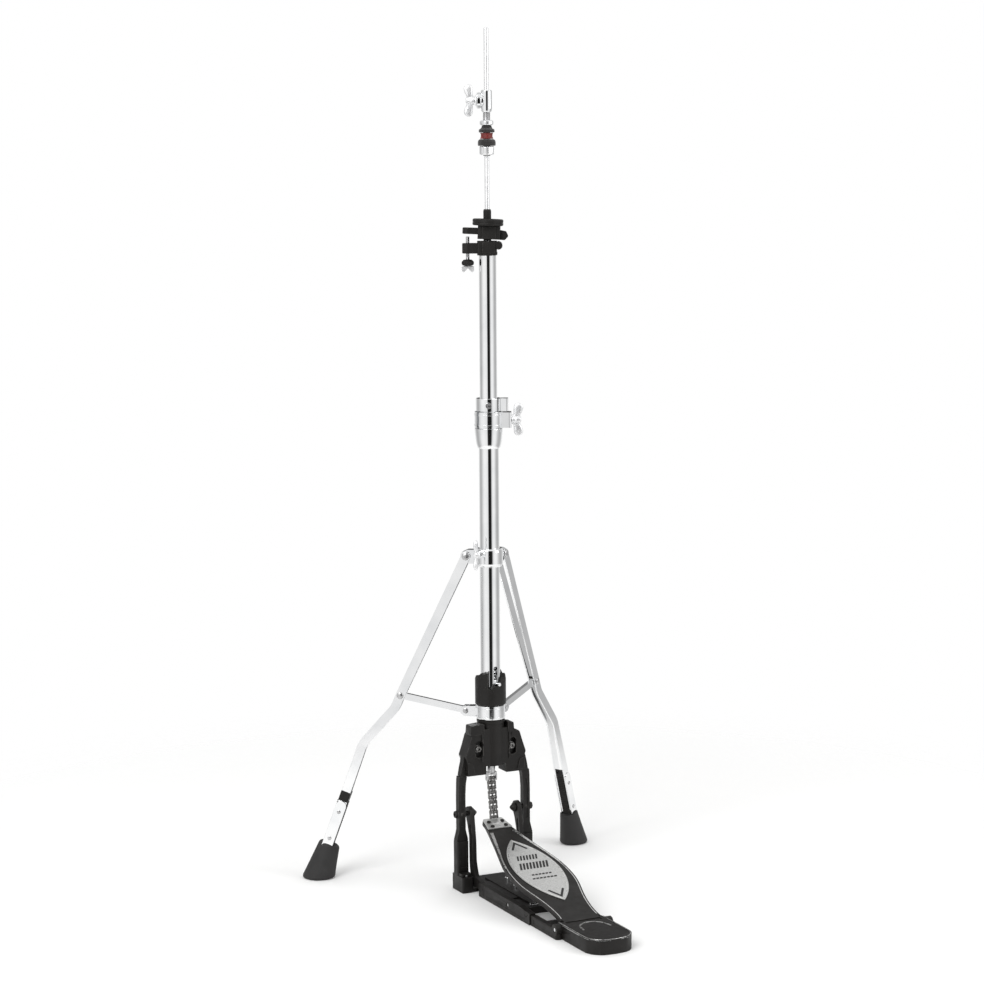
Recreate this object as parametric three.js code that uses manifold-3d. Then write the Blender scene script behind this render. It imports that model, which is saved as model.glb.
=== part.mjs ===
// A two-legged hi-hat stand: pedal, chain, pull rod in two telescoping tubes, cymbal seat and clutch.
// Millimetres, +Z up. The origin is the point on the floor below the axis of the tubes.
// The pedal runs from the tubes towards -Y, and +X is across it.
import * as THREE from 'three';
import { mergeVertices } from 'three/addons/utils/BufferGeometryUtils.js';
import Module from 'manifold-3d';

const wasm = await Module();
wasm.setup();

// ---------- driving dimensions ----------
const GAP = 0.35; // clearance between pieces that touch
const ROUND = 32; // sides of the larger round pieces
const SMALL = 16; // sides of screws and pins

// tubes and rods
const BASE_R = 12.7;
const BASE_BORE = 11.5;
const BASE_FOOT_Z = 171;
const BASE_TOP_Z = 600;
const UPPER_R = 11.1;
const UPPER_BORE = 9.9;
const UPPER_FOOT_Z = 497;
const UPPER_TOP_Z = 816.6;
const ROD_R = 3.0;
const LOWER_ROD_R = 3.5;
const ROD_TOP_Z = 1100.5;
const ROD_JOIN_Z = 445;
const ROD_FOOT_Z = 163.4;
const SEAT_TILT = THREE.MathUtils.degToRad(2.4); // lean of the cymbal seat's cup
const FACING = THREE.MathUtils.degToRad(-26); // turn of the clamp, seat and clutch about the tubes

// spring tension
const CAM_R = 20;
const CAM_FOOT_Z = 239.2;
const CAM_LOW_Z = 259.5;
const CAM_RISE = 23.5; // over half a turn
const CAM_START = THREE.MathUtils.degToRad(-41); // start of the ramp, seen from the studs
const STUD_R = 2.2;
const STUD_REACH = 22.5;
const STUD_TURN = THREE.MathUtils.degToRad(6);
const YOKE_HALF = 4;
const SPRING_R = 8;
const SPRING_WIRE = 1.1;
const SPRING_TURNS = 8;
const SPRING_TOP_Z = 384;

// hub and columns
const HUB_TOP_Z = 220;
const HUB_FRONT_Y = -15;
const HUB_BACK_Y = 7;
const COLUMN_X = 46.4;
const COLUMN_HALF_X = 4.75;
const COLUMN_FRONT_Y = -10;
const COLUMN_BACK_Y = -1;
const COLUMN_TOP_Z = 150;
const PIVOT_Y = -5.5; // pivots of the side arms
const PIVOT_Z = 99.5;
const PIVOT_R = 3.0;

// legs
const LEG_ANGLE = THREE.MathUtils.degToRad(124.6); // from the pedal to each leg
const LEG_R = 30; // pivots on the collar
const LEG_Z = 432;
const BRACE_R = 32; // pivots on the ring
const BRACE_Z = 230;
const BRACE_TIP = [118, 247.4]; // open pivot on the leg: radius, height
const STRAP_W = 12;
const STRAP_T = 2;
const STRAP_Y = 6.5; // centre of a strap from the leg's middle plane
const WAIST_Y = 4; // the same beside the brace
const STRAP_PATH = [
  [LEG_R, LEG_Z, STRAP_Y], [37, 417.3, STRAP_Y], [...BRACE_TIP, WAIST_Y], [124.7, 231.4, WAIST_Y],
  [168.5, 181.7, 4.6], [193, 112, STRAP_Y], [218.5, 42, STRAP_Y],
]; // outward, up, and from the leg's middle plane
const FOOT_R = 231.3;
const FOOT_H = 47;
const FOOT_SHEAR = -0.345; // lean of the rubber foot
const FOOT_SLOPE = 0.36; // its top is square to the straps

// pedal
const HINGE_Y = -252;
const HINGE_Z = 11.5;
const BOARD_TILT = THREE.MathUtils.degToRad(15);
const BOARD_TOP = 6.7; // top face above the hinge axis, square to the board
const BOARD_T = 5;
const BOARD_L = 261;
const RAIL_IN = 32;
const RAIL_OUT = 40.5;
const RAIL_H = 17;
const RAIL_END_Y = -188;
const HEEL_END_Y = -337;
const HEEL_H = 18.5;

// chain
const CHAIN_TOP_Z = 141;
const CHAIN_PITCH = 6.35;
const CHAIN_LINKS = 8;
const CHAIN_LEAN = THREE.MathUtils.degToRad(-8.7);

// ---------- materials ----------
function finish(color, roughness, metalness) {
  return new THREE.MeshStandardMaterial({ color, roughness, metalness });
}
const CHROME = finish(0xe6e8ea, 0.12, 1);
const BLACK_CAST = finish(0x2b2927, 0.45, 0.2);
const BLACK_STEEL = finish(0x1f1e1d, 0.5, 0.4);
const SILVER = finish(0xb9bab8, 0.35, 0.8);
const SPRING_STEEL = finish(0x8d9094, 0.35, 1);
const RUBBER = finish(0x232323, 0.85, 0);
const NYLON = finish(0xd8d6cf, 0.6, 0);
const FELT = finish(0x1c1b1a, 0.95, 0);
const RED_RING = finish(0x6d1d1a, 0.5, 0);

// ---------- solids ----------
function solid(geometry) {
  const bare = geometry.index ? geometry.toNonIndexed() : geometry.clone();
  for (const name of Object.keys(bare.attributes)) {
    if (name !== 'position') bare.deleteAttribute(name);
  }
  const merged = mergeVertices(bare, 1e-4);
  const vertProperties = new Float32Array(merged.attributes.position.array);
  const triVerts = new Uint32Array(merged.index.array);
  const body = new wasm.Manifold(new wasm.Mesh({ numProp: 3, vertProperties, triVerts }));
  if (body.volume() >= 0) return body;
  for (let i = 0; i < triVerts.length; i += 3) {
    const first = triVerts[i];
    triVerts[i] = triVerts[i + 1];
    triVerts[i + 1] = first;
  }
  return new wasm.Manifold(new wasm.Mesh({ numProp: 3, vertProperties, triVerts }));
}

function shapeOf(body) {
  const mesh = body.getMesh();
  const stride = mesh.numProp;
  const count = mesh.vertProperties.length / stride;
  const positions = new Float32Array(count * 3);
  for (let i = 0; i < count; i += 1) {
    for (let k = 0; k < 3; k += 1) positions[3 * i + k] = mesh.vertProperties[stride * i + k];
  }
  const geometry = new THREE.BufferGeometry();
  geometry.setAttribute('position', new THREE.BufferAttribute(positions, 3));
  geometry.setIndex(new THREE.BufferAttribute(new Uint32Array(mesh.triVerts), 1));
  geometry.computeVertexNormals();
  return geometry;
}

function joined(...bodies) {
  return bodies.reduce((sum, body) => sum.add(body));
}

function box(x0, x1, y0, y1, z0, z1) {
  const geometry = new THREE.BoxGeometry(x1 - x0, y1 - y0, z1 - z0);
  geometry.translate((x0 + x1) / 2, (y0 + y1) / 2, (z0 + z1) / 2);
  return solid(geometry);
}

// A solid of revolution about Z from [radius, height] pairs that start and end on the axis.
function turned(profile, sides = ROUND) {
  const geometry = new THREE.LatheGeometry(profile.map(([r, z]) => new THREE.Vector2(r, z)), sides);
  geometry.rotateX(Math.PI / 2);
  return solid(geometry);
}

function rod(r, z0, z1, sides = SMALL) {
  return turned([[0, z0], [r, z0], [r, z1], [0, z1]], sides);
}

function pipe(r, bore, z0, z1, sides = ROUND) {
  return turned([[bore, z0], [r, z0], [r, z1], [bore, z1], [bore, z0]], sides);
}

// A rod between two points.
function bar(from, to, r, sides = SMALL) {
  const start = new THREE.Vector3(...from);
  const along = new THREE.Vector3(...to).sub(start);
  const geometry = new THREE.CylinderGeometry(r, r, along.length(), sides);
  geometry.translate(0, along.length() / 2, 0);
  const turn = new THREE.Quaternion().setFromUnitVectors(new THREE.Vector3(0, 1, 0), along.clone().normalize());
  geometry.applyQuaternion(turn);
  geometry.translate(start.x, start.y, start.z);
  return solid(geometry);
}

// A flat outline of [across, up] pairs, upright in the XZ plane, from y0 to y1.
function frontPlate(outline, y0, y1) {
  const shape = outline instanceof THREE.Shape ? outline : new THREE.Shape(outline.map((p) => new THREE.Vector2(...p)));
  const geometry = new THREE.ExtrudeGeometry(shape, { depth: y1 - y0, bevelEnabled: false, curveSegments: 8 });
  geometry.rotateX(Math.PI / 2);
  geometry.translate(0, y1, 0);
  return solid(geometry);
}

// A flat outline of [y, z] pairs, upright in the YZ plane, from x0 to x1.
function sidePlate(outline, x0, x1) {
  const shape = new THREE.Shape(outline.map((p) => new THREE.Vector2(...p)));
  const geometry = new THREE.ExtrudeGeometry(shape, { depth: x1 - x0, bevelEnabled: false });
  geometry.rotateX(Math.PI / 2);
  geometry.rotateZ(Math.PI / 2);
  geometry.translate(x0, 0, 0);
  return solid(geometry);
}

// A flat outline of [x, y] pairs from z0 to z1.
function slab(outline, z0, z1) {
  const shape = outline instanceof THREE.Shape ? outline : new THREE.Shape(outline.map((p) => new THREE.Vector2(...p)));
  const geometry = new THREE.ExtrudeGeometry(shape, { depth: z1 - z0, bevelEnabled: false, curveSegments: 8 });
  geometry.translate(0, 0, z0);
  return solid(geometry);
}

function mirrored(outline) {
  return outline.concat(outline.map(([x, y]) => [-x, y]).reverse().filter(([x]) => x !== 0));
}

const stand = new THREE.Group();
const facing = new THREE.Group();
facing.rotation.z = FACING;
stand.add(facing);

function piece(parent, name, body, material) {
  const mesh = new THREE.Mesh(shapeOf(body), material);
  mesh.name = name;
  parent.add(mesh);
  return mesh;
}

// A wing bolt along +X: threaded shaft back to -shaft, hub, and two lobes up and down.
function wingBolt(shaftR, shaft, hubR, hub, span) {
  const lobes = new THREE.Shape();
  const half = span / 2;
  lobes.moveTo(hub * 0.15, -hubR * 0.6);
  lobes.lineTo(hub * 0.5, -half);
  lobes.quadraticCurveTo(hub * 1.1, -half * 1.02, hub * 1.15, -half * 0.7);
  lobes.lineTo(hub * 0.85, 0);
  lobes.lineTo(hub * 1.15, half * 0.7);
  lobes.quadraticCurveTo(hub * 1.1, half * 1.02, hub * 0.5, half);
  lobes.lineTo(hub * 0.15, hubR * 0.6);
  const blade = frontPlate(lobes, -2.2, 2.2);
  return joined(bar([-shaft, 0, 0], [hub * 0.5, 0, 0], shaftR), bar([0, 0, 0], [hub, 0, 0], hubR), blade);
}

function place(body, x, y, z, turnZ = 0) {
  return body.rotate([0, 0, THREE.MathUtils.radToDeg(turnZ)]).translate([x, y, z]);
}

// ---------- tubes, hub and columns ----------
function rampHeight(angle) {
  return CAM_LOW_Z + (CAM_RISE * angle) / Math.PI;
}
const STUD_Z = rampHeight(-CAM_START) + 0.6 + STUD_R;

function makeTubes() {
  const slotZ0 = STUD_Z - 8;
  const slotZ1 = STUD_Z + 22;
  const slot = box(-STUD_R - 0.7, STUD_R + 0.7, -20, 20, slotZ0, slotZ1);
  const base = pipe(BASE_R, BASE_BORE, BASE_FOOT_Z, BASE_TOP_Z).subtract(place(slot, 0, 0, 0, STUD_TURN));
  piece(stand, 'base_tube', base, CHROME);
  piece(stand, 'upper_tube', pipe(UPPER_R, UPPER_BORE, UPPER_FOOT_Z, UPPER_TOP_Z), CHROME);
}

function makeHub() {
  const outline = mirrored([[14, 160], [14, 150], [48.5, 150], [44, 170], [39, 190], [35, 206], [27, 211]]);
  const arch = frontPlate(outline, HUB_FRONT_Y, HUB_BACK_Y);
  const boss = rod(17.5, 160, HUB_TOP_Z, ROUND);
  const seat = rod(BASE_R + GAP, BASE_FOOT_Z - GAP, HUB_TOP_Z + 1, ROUND);
  const throat = rod(7.5, 140, BASE_FOOT_Z, ROUND);
  let hub = joined(arch, boss).subtract(seat).subtract(throat);
  for (const side of [-1, 1]) {
    const x = side * 39.5;
    const socket = box(x - 2.9, x + 2.9, -8.9, -2.1, 149, 168.6);
    hub = hub.subtract(socket);
    hub = hub.subtract(bar([side * 24.3, HUB_FRONT_Y - 1, 184], [side * 24.3, HUB_FRONT_Y + 9, 184], 3.4));
  }
  piece(stand, 'hub_casting', hub, BLACK_CAST);
  piece(stand, 'rod_bush', pipe(BASE_BORE - GAP, LOWER_ROD_R + GAP, BASE_FOOT_Z + GAP, BASE_FOOT_Z + 11), NYLON);
}

function makeColumn(side, name) {
  const outer = COLUMN_X + COLUMN_HALF_X;
  const inner = COLUMN_X - COLUMN_HALF_X;
  const topZ = COLUMN_TOP_Z - GAP;
  const outline = new THREE.Shape();
  outline.moveTo(38.5, 0);
  outline.lineTo(54.5, 0);
  outline.lineTo(54.5, 64);
  outline.lineTo(outer, 78);
  outline.lineTo(outer, 128);
  outline.quadraticCurveTo(outer, 140, 48.7, topZ);
  outline.lineTo(39.2, topZ);
  outline.quadraticCurveTo(inner, 140, inner, 128);
  outline.lineTo(inner, 78);
  outline.lineTo(38.5, 66);
  const leg = frontPlate(outline, COLUMN_FRONT_Y, COLUMN_BACK_Y);
  const tongue = box(37, 42, -8.5, -2.5, 140, 168);
  const toe = box(38.5, 54.5, -27, 6, 0, 20);
  let column = joined(leg, tongue, toe);
  column = column.subtract(bar([30, PIVOT_Y, PIVOT_Z], [60, PIVOT_Y, PIVOT_Z], PIVOT_R + GAP));
  if (side < 0) column = column.mirror([1, 0, 0]);
  piece(stand, name, column, BLACK_CAST);
}

function makeHubBolt(side, name) {
  const x = side * 24.3;
  const head = bar([x, HUB_FRONT_Y - 4, 184], [x, HUB_FRONT_Y - GAP, 184], 5, 6);
  const shank = bar([x, HUB_FRONT_Y - 1, 184], [x, HUB_FRONT_Y + 8, 184], 3, 12);
  piece(stand, name, joined(head, shank), CHROME);
}

// ---------- height clamp and memory lock ----------
const CLAMP_Z = 608;

function makeClamp() {
  const bore = BASE_R + GAP;
  const sleeveTop = 597;
  const sleeve = [[bore, 571.5], [14, 571.5], [15.7, 575], [16.7, 583], [17.9, sleeveTop], [bore, sleeveTop], [bore, 571.5]];
  piece(facing, 'clamp_sleeve', turned(sleeve), CHROME);
  const z0 = sleeveTop + GAP;
  const z1 = 618.6;
  const band = rod(17.9, z0, z1, ROUND);
  const ear = box(4, 29, -9.5, 9.5, z0 + 0.8, z1 - 0.8);
  const lower = rod(bore, z0 - 1, BASE_TOP_Z + GAP, ROUND);
  const upper = rod(UPPER_R + GAP, BASE_TOP_Z, z1 + 1, ROUND);
  const split = place(box(-20, -14.5, -1.6, 1.6, z0 - 1, z1 + 1), 0, 0, 0, THREE.MathUtils.degToRad(41));
  const hole = bar([15, 0, CLAMP_Z], [35, 0, CLAMP_Z], 3.4);
  const clamp = joined(band, ear).subtract(lower).subtract(upper).subtract(split).subtract(hole);
  piece(facing, 'clamp_body', clamp, CHROME);
  const wing = wingBolt(3, 13, 6.2, 12, 42).translate([29.5, 0, CLAMP_Z]);
  piece(facing, 'clamp_wing_bolt', wing, CHROME);
}

function makeMemoryLock() {
  const z0 = 619.2;
  const z1 = 635.5;
  const bore = rod(UPPER_R + GAP, z0 - 1, z1 + 1, ROUND);
  const ear = box(10, 25, -6.5, 6.5, z0, z1);
  const screwHole = bar([0, -20, 627], [0, -10, 627], 2.4);
  piece(facing, 'memory_lock', joined(rod(16.2, z0, z1, ROUND), ear).subtract(bore).subtract(screwHole), CHROME);
  const head = bar([0, -18.6, 627], [0, -16.5, 627], 3.9);
  piece(facing, 'memory_lock_screw', joined(head, bar([0, -17, 627], [0, -12, 627], 2)), CHROME);
}

// ---------- cymbal seat ----------
function makeSeat() {
  const tilt = new THREE.Group();
  const hinge = [14, 838];
  tilt.position.set(hinge[0], 0, hinge[1]);
  tilt.rotation.y = SEAT_TILT;
  facing.add(tilt);
  const passage = rod(4.2, 780, 880, SMALL);
  const baseTop = 834.6;
  const body = box(-13, 12, -12, 12, UPPER_TOP_Z + GAP, baseTop);
  const ear = box(-31, -12, -6, 6, 819, 832);
  const spigot = rod(UPPER_BORE - GAP, 798, 820, ROUND);
  const knuckle = bar([14, -12, 829], [14, 12, 829], 5);
  const screwHole = rod(2.8, 810, 845, SMALL).translate([-25, 0, 0]);
  const base = joined(body, ear, spigot, knuckle).subtract(passage).subtract(screwHole);
  piece(facing, 'seat_base', base, BLACK_CAST);

  const cup = rod(19.5, 15.4, 23.6, ROUND).translate([-14, 0, 0]);
  const block = box(-27, 2, -11, 11, -1.6, 16.4);
  const lever = frontPlate([[0, -1.6], [9, -2], [12.5, 3], [9, 9.5], [0, 9.5]], -5, 5);
  const leftEar = box(-45, -25, -5.5, 5.5, 4, 12);
  const bore = rod(9, -10, 50, 24).translate([-14, 0, 0]);
  piece(tilt, 'seat_cup', joined(cup, block, lever, leftEar).subtract(bore), BLACK_CAST);
  piece(facing, 'seat_post', pipe(5, ROD_R + 0.5, baseTop + GAP, 874.5, SMALL), BLACK_STEEL);

  const knob = turned([[0, 803], [6, 803], [8, 806], [8, 809], [5, 811.5], [0, 811.5]], SMALL);
  const wings = box(-8, 8, -1.5, 1.5, 795, 804);
  const screw = joined(knob, wings, rod(2.4, 810, 840.4)).translate([-25, 0, 0]);
  piece(facing, 'seat_tilt_screw', screw, BLACK_STEEL);
}

// ---------- clutch ----------
function makeClutch() {
  const bore = ROD_R + GAP + 0.1;
  const hole = rod(bore, 900, 1040, SMALL);
  const body = rod(7, 995.6, 1023, SMALL);
  const boss = bar([-14.5, 0, 1010], [0, 0, 1010], 6.8);
  const shaftHole = bar([-20, 0, 1010], [0, 0, 1010], 2.9);
  piece(facing, 'clutch_body', joined(body, boss).subtract(hole).subtract(shaftHole), CHROME);
  const wing = wingBolt(2.5, 10.5, 5.5, 11, 40).rotate([0, 0, 180]).translate([-15, 0, 1010]);
  piece(facing, 'clutch_wing_bolt', wing, CHROME);
  piece(facing, 'clutch_tube', pipe(4.6, bore, 941, 995.2, SMALL), CHROME);
  const inner = 4.6 + GAP;
  const nut = rod(8.8, 979.6, 985.5, 6).subtract(rod(inner, 979, 986, SMALL));
  piece(facing, 'clutch_top_nut', nut, CHROME);
  const felt = [[inner, 970.2], [10, 970.2], [10, 974.5], [6, 976], [6, 979.2], [inner, 979.2], [inner, 970.2]];
  piece(facing, 'clutch_upper_felt', turned(felt, 24), FELT);
  piece(facing, 'clutch_ring', pipe(8, inner, 962.4, 969.8, 24), RED_RING);
  piece(facing, 'clutch_lower_cup', pipe(11.3, inner, 953.6, 962, 24), FELT);
  piece(facing, 'clutch_bottom_nut', pipe(9.4, inner, 942.5, 953.2, 24), CHROME);
}

// ---------- pull rod, spring and tension cam ----------
function makeRods() {
  piece(stand, 'lower_pull_rod', rod(LOWER_ROD_R, ROD_FOOT_Z, ROD_JOIN_Z), SPRING_STEEL);
  piece(stand, 'upper_pull_rod', rod(ROD_R, ROD_JOIN_Z + GAP, ROD_TOP_Z), CHROME);
  piece(stand, 'rod_coupler', pipe(6.5, LOWER_ROD_R + GAP, ROD_JOIN_Z - 14, ROD_JOIN_Z + 14, SMALL), SPRING_STEEL);
  const stopZ = SPRING_TOP_Z + GAP;
  piece(stand, 'spring_stop', pipe(10.4, LOWER_ROD_R + GAP, stopZ, stopZ + 7, 24), SPRING_STEEL);
}

function makeYoke() {
  const seat = pipe(BASE_BORE - 0.5, LOWER_ROD_R + GAP, STUD_Z - YOKE_HALF, STUD_Z + YOKE_HALF);
  const studs = [-1, 1].map((side) => bar([0, side * 9, STUD_Z], [0, side * STUD_REACH, STUD_Z], STUD_R, 12));
  piece(stand, 'tension_yoke', place(joined(seat, ...studs), 0, 0, 0, STUD_TURN), SPRING_STEEL);
}

// One closed ring with two spiral ramps on top, each rising over half a turn and then dropping.
function makeCam() {
  const steps = 20;
  const start = -Math.PI / 2 + STUD_TURN + CAM_START;
  const low = CAM_LOW_Z;
  const high = CAM_LOW_Z + CAM_RISE;
  const bore = BASE_R + GAP;
  const triangles = [];
  const at = (r, angle, z) => [r * Math.cos(angle), r * Math.sin(angle), z];
  const face = (...corners) => {
    for (let i = 1; i + 1 < corners.length; i += 1) triangles.push(...corners[0], ...corners[i], ...corners[i + 1]);
  };
  for (let half = 0; half < 2; half += 1) {
    for (let i = 0; i < steps; i += 1) {
      const a0 = start + Math.PI * (half + i / steps);
      const a1 = start + Math.PI * (half + (i + 1) / steps);
      const z0 = low + (CAM_RISE * i) / steps;
      const z1 = low + (CAM_RISE * (i + 1)) / steps;
      const extra = i === steps - 1 ? [low] : [];
      face(at(CAM_R, a0, CAM_FOOT_Z), at(CAM_R, a1, CAM_FOOT_Z), ...extra.map((z) => at(CAM_R, a1, z)), at(CAM_R, a1, z1), at(CAM_R, a0, z0));
      face(at(bore, a0, z0), at(bore, a1, z1), ...extra.map((z) => at(bore, a1, z)), at(bore, a1, CAM_FOOT_Z), at(bore, a0, CAM_FOOT_Z));
      face(at(CAM_R, a0, z0), at(CAM_R, a1, z1), at(bore, a1, z1), at(bore, a0, z0));
      face(at(bore, a0, CAM_FOOT_Z), at(bore, a1, CAM_FOOT_Z), at(CAM_R, a1, CAM_FOOT_Z), at(CAM_R, a0, CAM_FOOT_Z));
    }
    const a = start + Math.PI * (half + 1);
    face(at(CAM_R, a, low), at(bore, a, low), at(bore, a, high), at(CAM_R, a, high));
  }
  const geometry = new THREE.BufferGeometry();
  geometry.setAttribute('position', new THREE.BufferAttribute(new Float32Array(triangles), 3));
  piece(stand, 'tension_cam', solid(geometry), BLACK_CAST);
}

class Helix extends THREE.Curve {
  constructor(radius, z0, z1, turns) {
    super();
    Object.assign(this, { radius, z0, z1, turns });
  }

  getPoint(t, target = new THREE.Vector3()) {
    const angle = 2 * Math.PI * this.turns * t;
    return target.set(this.radius * Math.cos(angle), this.radius * Math.sin(angle), this.z0 + (this.z1 - this.z0) * t);
  }
}

function makeSpring() {
  const section = new THREE.Shape().absarc(0, 0, SPRING_WIRE, 0, 2 * Math.PI);
  const z0 = STUD_Z + YOKE_HALF + GAP + SPRING_WIRE;
  const path = new Helix(SPRING_R, z0, SPRING_TOP_Z - SPRING_WIRE - GAP, SPRING_TURNS);
  const geometry = new THREE.ExtrudeGeometry(section, { steps: SPRING_TURNS * 12, extrudePath: path, curveSegments: 3 });
  piece(stand, 'pedal_spring', solid(geometry), SPRING_STEEL);
}

function makeAdapter() {
  const top = ROD_FOOT_Z - GAP;
  const stem = rod(5, CHAIN_TOP_Z + 6, top, ROUND);
  const cheek = (side) => box(side * 6.6 - 0.9, side * 6.6 + 0.9, -3.6, 3.6, CHAIN_TOP_Z - 3.5, CHAIN_TOP_Z + 7.5);
  const bridge = box(-7.5, 7.5, -3.6, 3.6, CHAIN_TOP_Z + 5, CHAIN_TOP_Z + 7.5);
  piece(stand, 'chain_adapter', joined(stem, bridge, cheek(-1), cheek(1)), CHROME);
}

// Two rows of rollers, with link plates outside and between them.
function makeChain() {
  const chain = new THREE.Group();
  chain.position.z = CHAIN_TOP_Z;
  chain.rotation.x = CHAIN_LEAN;
  stand.add(chain);
  const parts = [];
  for (let i = 0; i <= CHAIN_LINKS; i += 1) {
    const z = -i * CHAIN_PITCH;
    parts.push(bar([-4.9, 0, z], [4.9, 0, z], 1.8, 8));
  }
  for (let i = 0; i < CHAIN_LINKS; i += 1) {
    const middle = -(i + 0.5) * CHAIN_PITCH;
    const reach = CHAIN_PITCH / 2 + 2.2;
    for (const x of [-4.3, 0, 4.3]) {
      const shift = i % 2 ? 0.45 : 0;
      parts.push(box(x - 0.5 - shift, x + 0.5 + shift, -2.3, 2.3, middle - reach, middle + reach));
    }
  }
  piece(chain, 'chain', joined(...parts), SPRING_STEEL);
}

// ---------- legs ----------
// The strap's outline: its path widened to both sides, with round ends.
function stripOutline(path, width) {
  const points = path.map((p) => new THREE.Vector2(...p));
  const left = [];
  const right = [];
  points.forEach((point, i) => {
    const before = points[Math.max(i - 1, 0)];
    const after = points[Math.min(i + 1, points.length - 1)];
    const into = point.clone().sub(before).normalize();
    const out = after.clone().sub(point).normalize();
    const along = i === 0 ? out : i === points.length - 1 ? into : into.clone().add(out).normalize();
    const square = new THREE.Vector2(-along.y, along.x);
    const stretch = i === 0 || i === points.length - 1 ? 1 : 1 / along.dot(into);
    left.push(point.clone().addScaledVector(square, (width / 2) * stretch));
    right.push(point.clone().addScaledVector(square, (-width / 2) * stretch));
  });
  return left.concat(right.reverse()).map((p) => [p.x, p.y]);
}

function flatBar(path, width, y0, y1) {
  const ends = [path[0], path[path.length - 1]];
  const caps = ends.map(([x, z]) => bar([x, y0, z], [x, y1, z], width / 2, 20));
  return joined(frontPlate(stripOutline(path, width), y0, y1), ...caps);
}

// A flat strap that also wanders from the leg's middle plane, one convex stretch after another.
function makeStrap(side) {
  const path = STRAP_PATH.map(([x, z]) => [x, z]);
  const outline = stripOutline(path, STRAP_W);
  const last = outline.length - 1;
  const edges = STRAP_PATH.map(([, , away], i) => [outline[i], outline[last - i]].flatMap(([x, z]) => (
    [-STRAP_T / 2, STRAP_T / 2].map((half) => [x, side * away + half, z])
  )));
  const stretches = edges.slice(1).map((edge, i) => wasm.Manifold.hull([...edges[i], ...edge]));
  const caps = [STRAP_PATH[0], STRAP_PATH[STRAP_PATH.length - 1]].map(([x, z, away]) => (
    bar([x, side * away - STRAP_T / 2, z], [x, side * away + STRAP_T / 2, z], STRAP_W / 2, 20)
  ));
  return joined(...stretches, ...caps);
}

function makeRubberFoot() {
  const geometry = new THREE.CylinderGeometry(13, 22.5, FOOT_H, 24);
  geometry.rotateX(Math.PI / 2);
  geometry.scale(1, 0.88, 1);
  geometry.translate(0, 0, FOOT_H / 2);
  const position = geometry.attributes.position;
  for (let i = 0; i < position.count; i += 1) {
    const [x, z] = [position.getX(i), position.getZ(i)];
    position.setX(i, x + FOOT_R + FOOT_SHEAR * z);
    position.setZ(i, z + (FOOT_SLOPE * x * z) / FOOT_H);
  }
  const pocketPath = [[209.8, 66], [219.6, 38.8]];
  const pocket = flatBar(pocketPath, STRAP_W + 2 + 2 * GAP, -STRAP_Y - 1 - GAP, STRAP_Y + 1 + GAP);
  return solid(geometry).subtract(pocket);
}

function makeLeg(side, name) {
  const leg = new THREE.Group();
  leg.rotation.z = side * LEG_ANGLE - Math.PI / 2;
  stand.add(leg);
  for (const [row, y] of [['front', -side * STRAP_Y], ['rear', side * STRAP_Y]]) {
    const strap = makeStrap(Math.sign(y));
    const hole = bar([LEG_R, y - 3, LEG_Z], [LEG_R, y + 3, LEG_Z], 3 + GAP);
    piece(leg, `${name}_leg_${row}_strap`, strap.subtract(hole), CHROME);
  }
  const inner = STRAP_Y - STRAP_T / 2 - GAP;
  const spacer = flatBar([[193.4, 111], [218.3, 42.6]], STRAP_W + 2, -inner, inner);
  piece(leg, `${name}_foot_spacer`, spacer, BLACK_STEEL);
  piece(leg, `${name}_rubber_foot`, makeRubberFoot(), RUBBER);
  const brace = flatBar([[BRACE_R, BRACE_Z], BRACE_TIP], 8.5, -2.6, 2.6);
  const pin = bar([BRACE_R, -4, BRACE_Z], [BRACE_R, 4, BRACE_Z], 2.2 + GAP);
  piece(leg, `${name}_brace`, brace.subtract(pin), CHROME);
}

function lug(side, body) {
  return place(body, 0, 0, 0, side * LEG_ANGLE - Math.PI / 2);
}

function makeRing() {
  const top = 238.6;
  const foot = HUB_TOP_Z + 0.5;
  const bore = rod(BASE_R + GAP, foot - 1, top + 1, ROUND);
  let ring = rod(18.7, foot, top, ROUND);
  for (const side of [-1, 1]) {
    const cheeks = [-1, 1].map((y) => joined(
      box(14, BRACE_R, y * 4.3 - 1.35, y * 4.3 + 1.35, foot + 2, top - 2),
      bar([BRACE_R, y * 4.3 - 1.35, BRACE_Z], [BRACE_R, y * 4.3 + 1.35, BRACE_Z], 7.2),
    ));
    const pin = bar([BRACE_R, -6.4, BRACE_Z], [BRACE_R, 6.4, BRACE_Z], 2.2, 12);
    ring = joined(ring, lug(side, joined(...cheeks, pin)));
  }
  piece(stand, 'brace_ring', ring.subtract(bore), CHROME);
}

const SCREW_TURN = THREE.MathUtils.degToRad(212); // the collar's screw, clear of the left leg
const SCREW_R = 28.3;
const SCREW_Z = 437.4;

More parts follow.
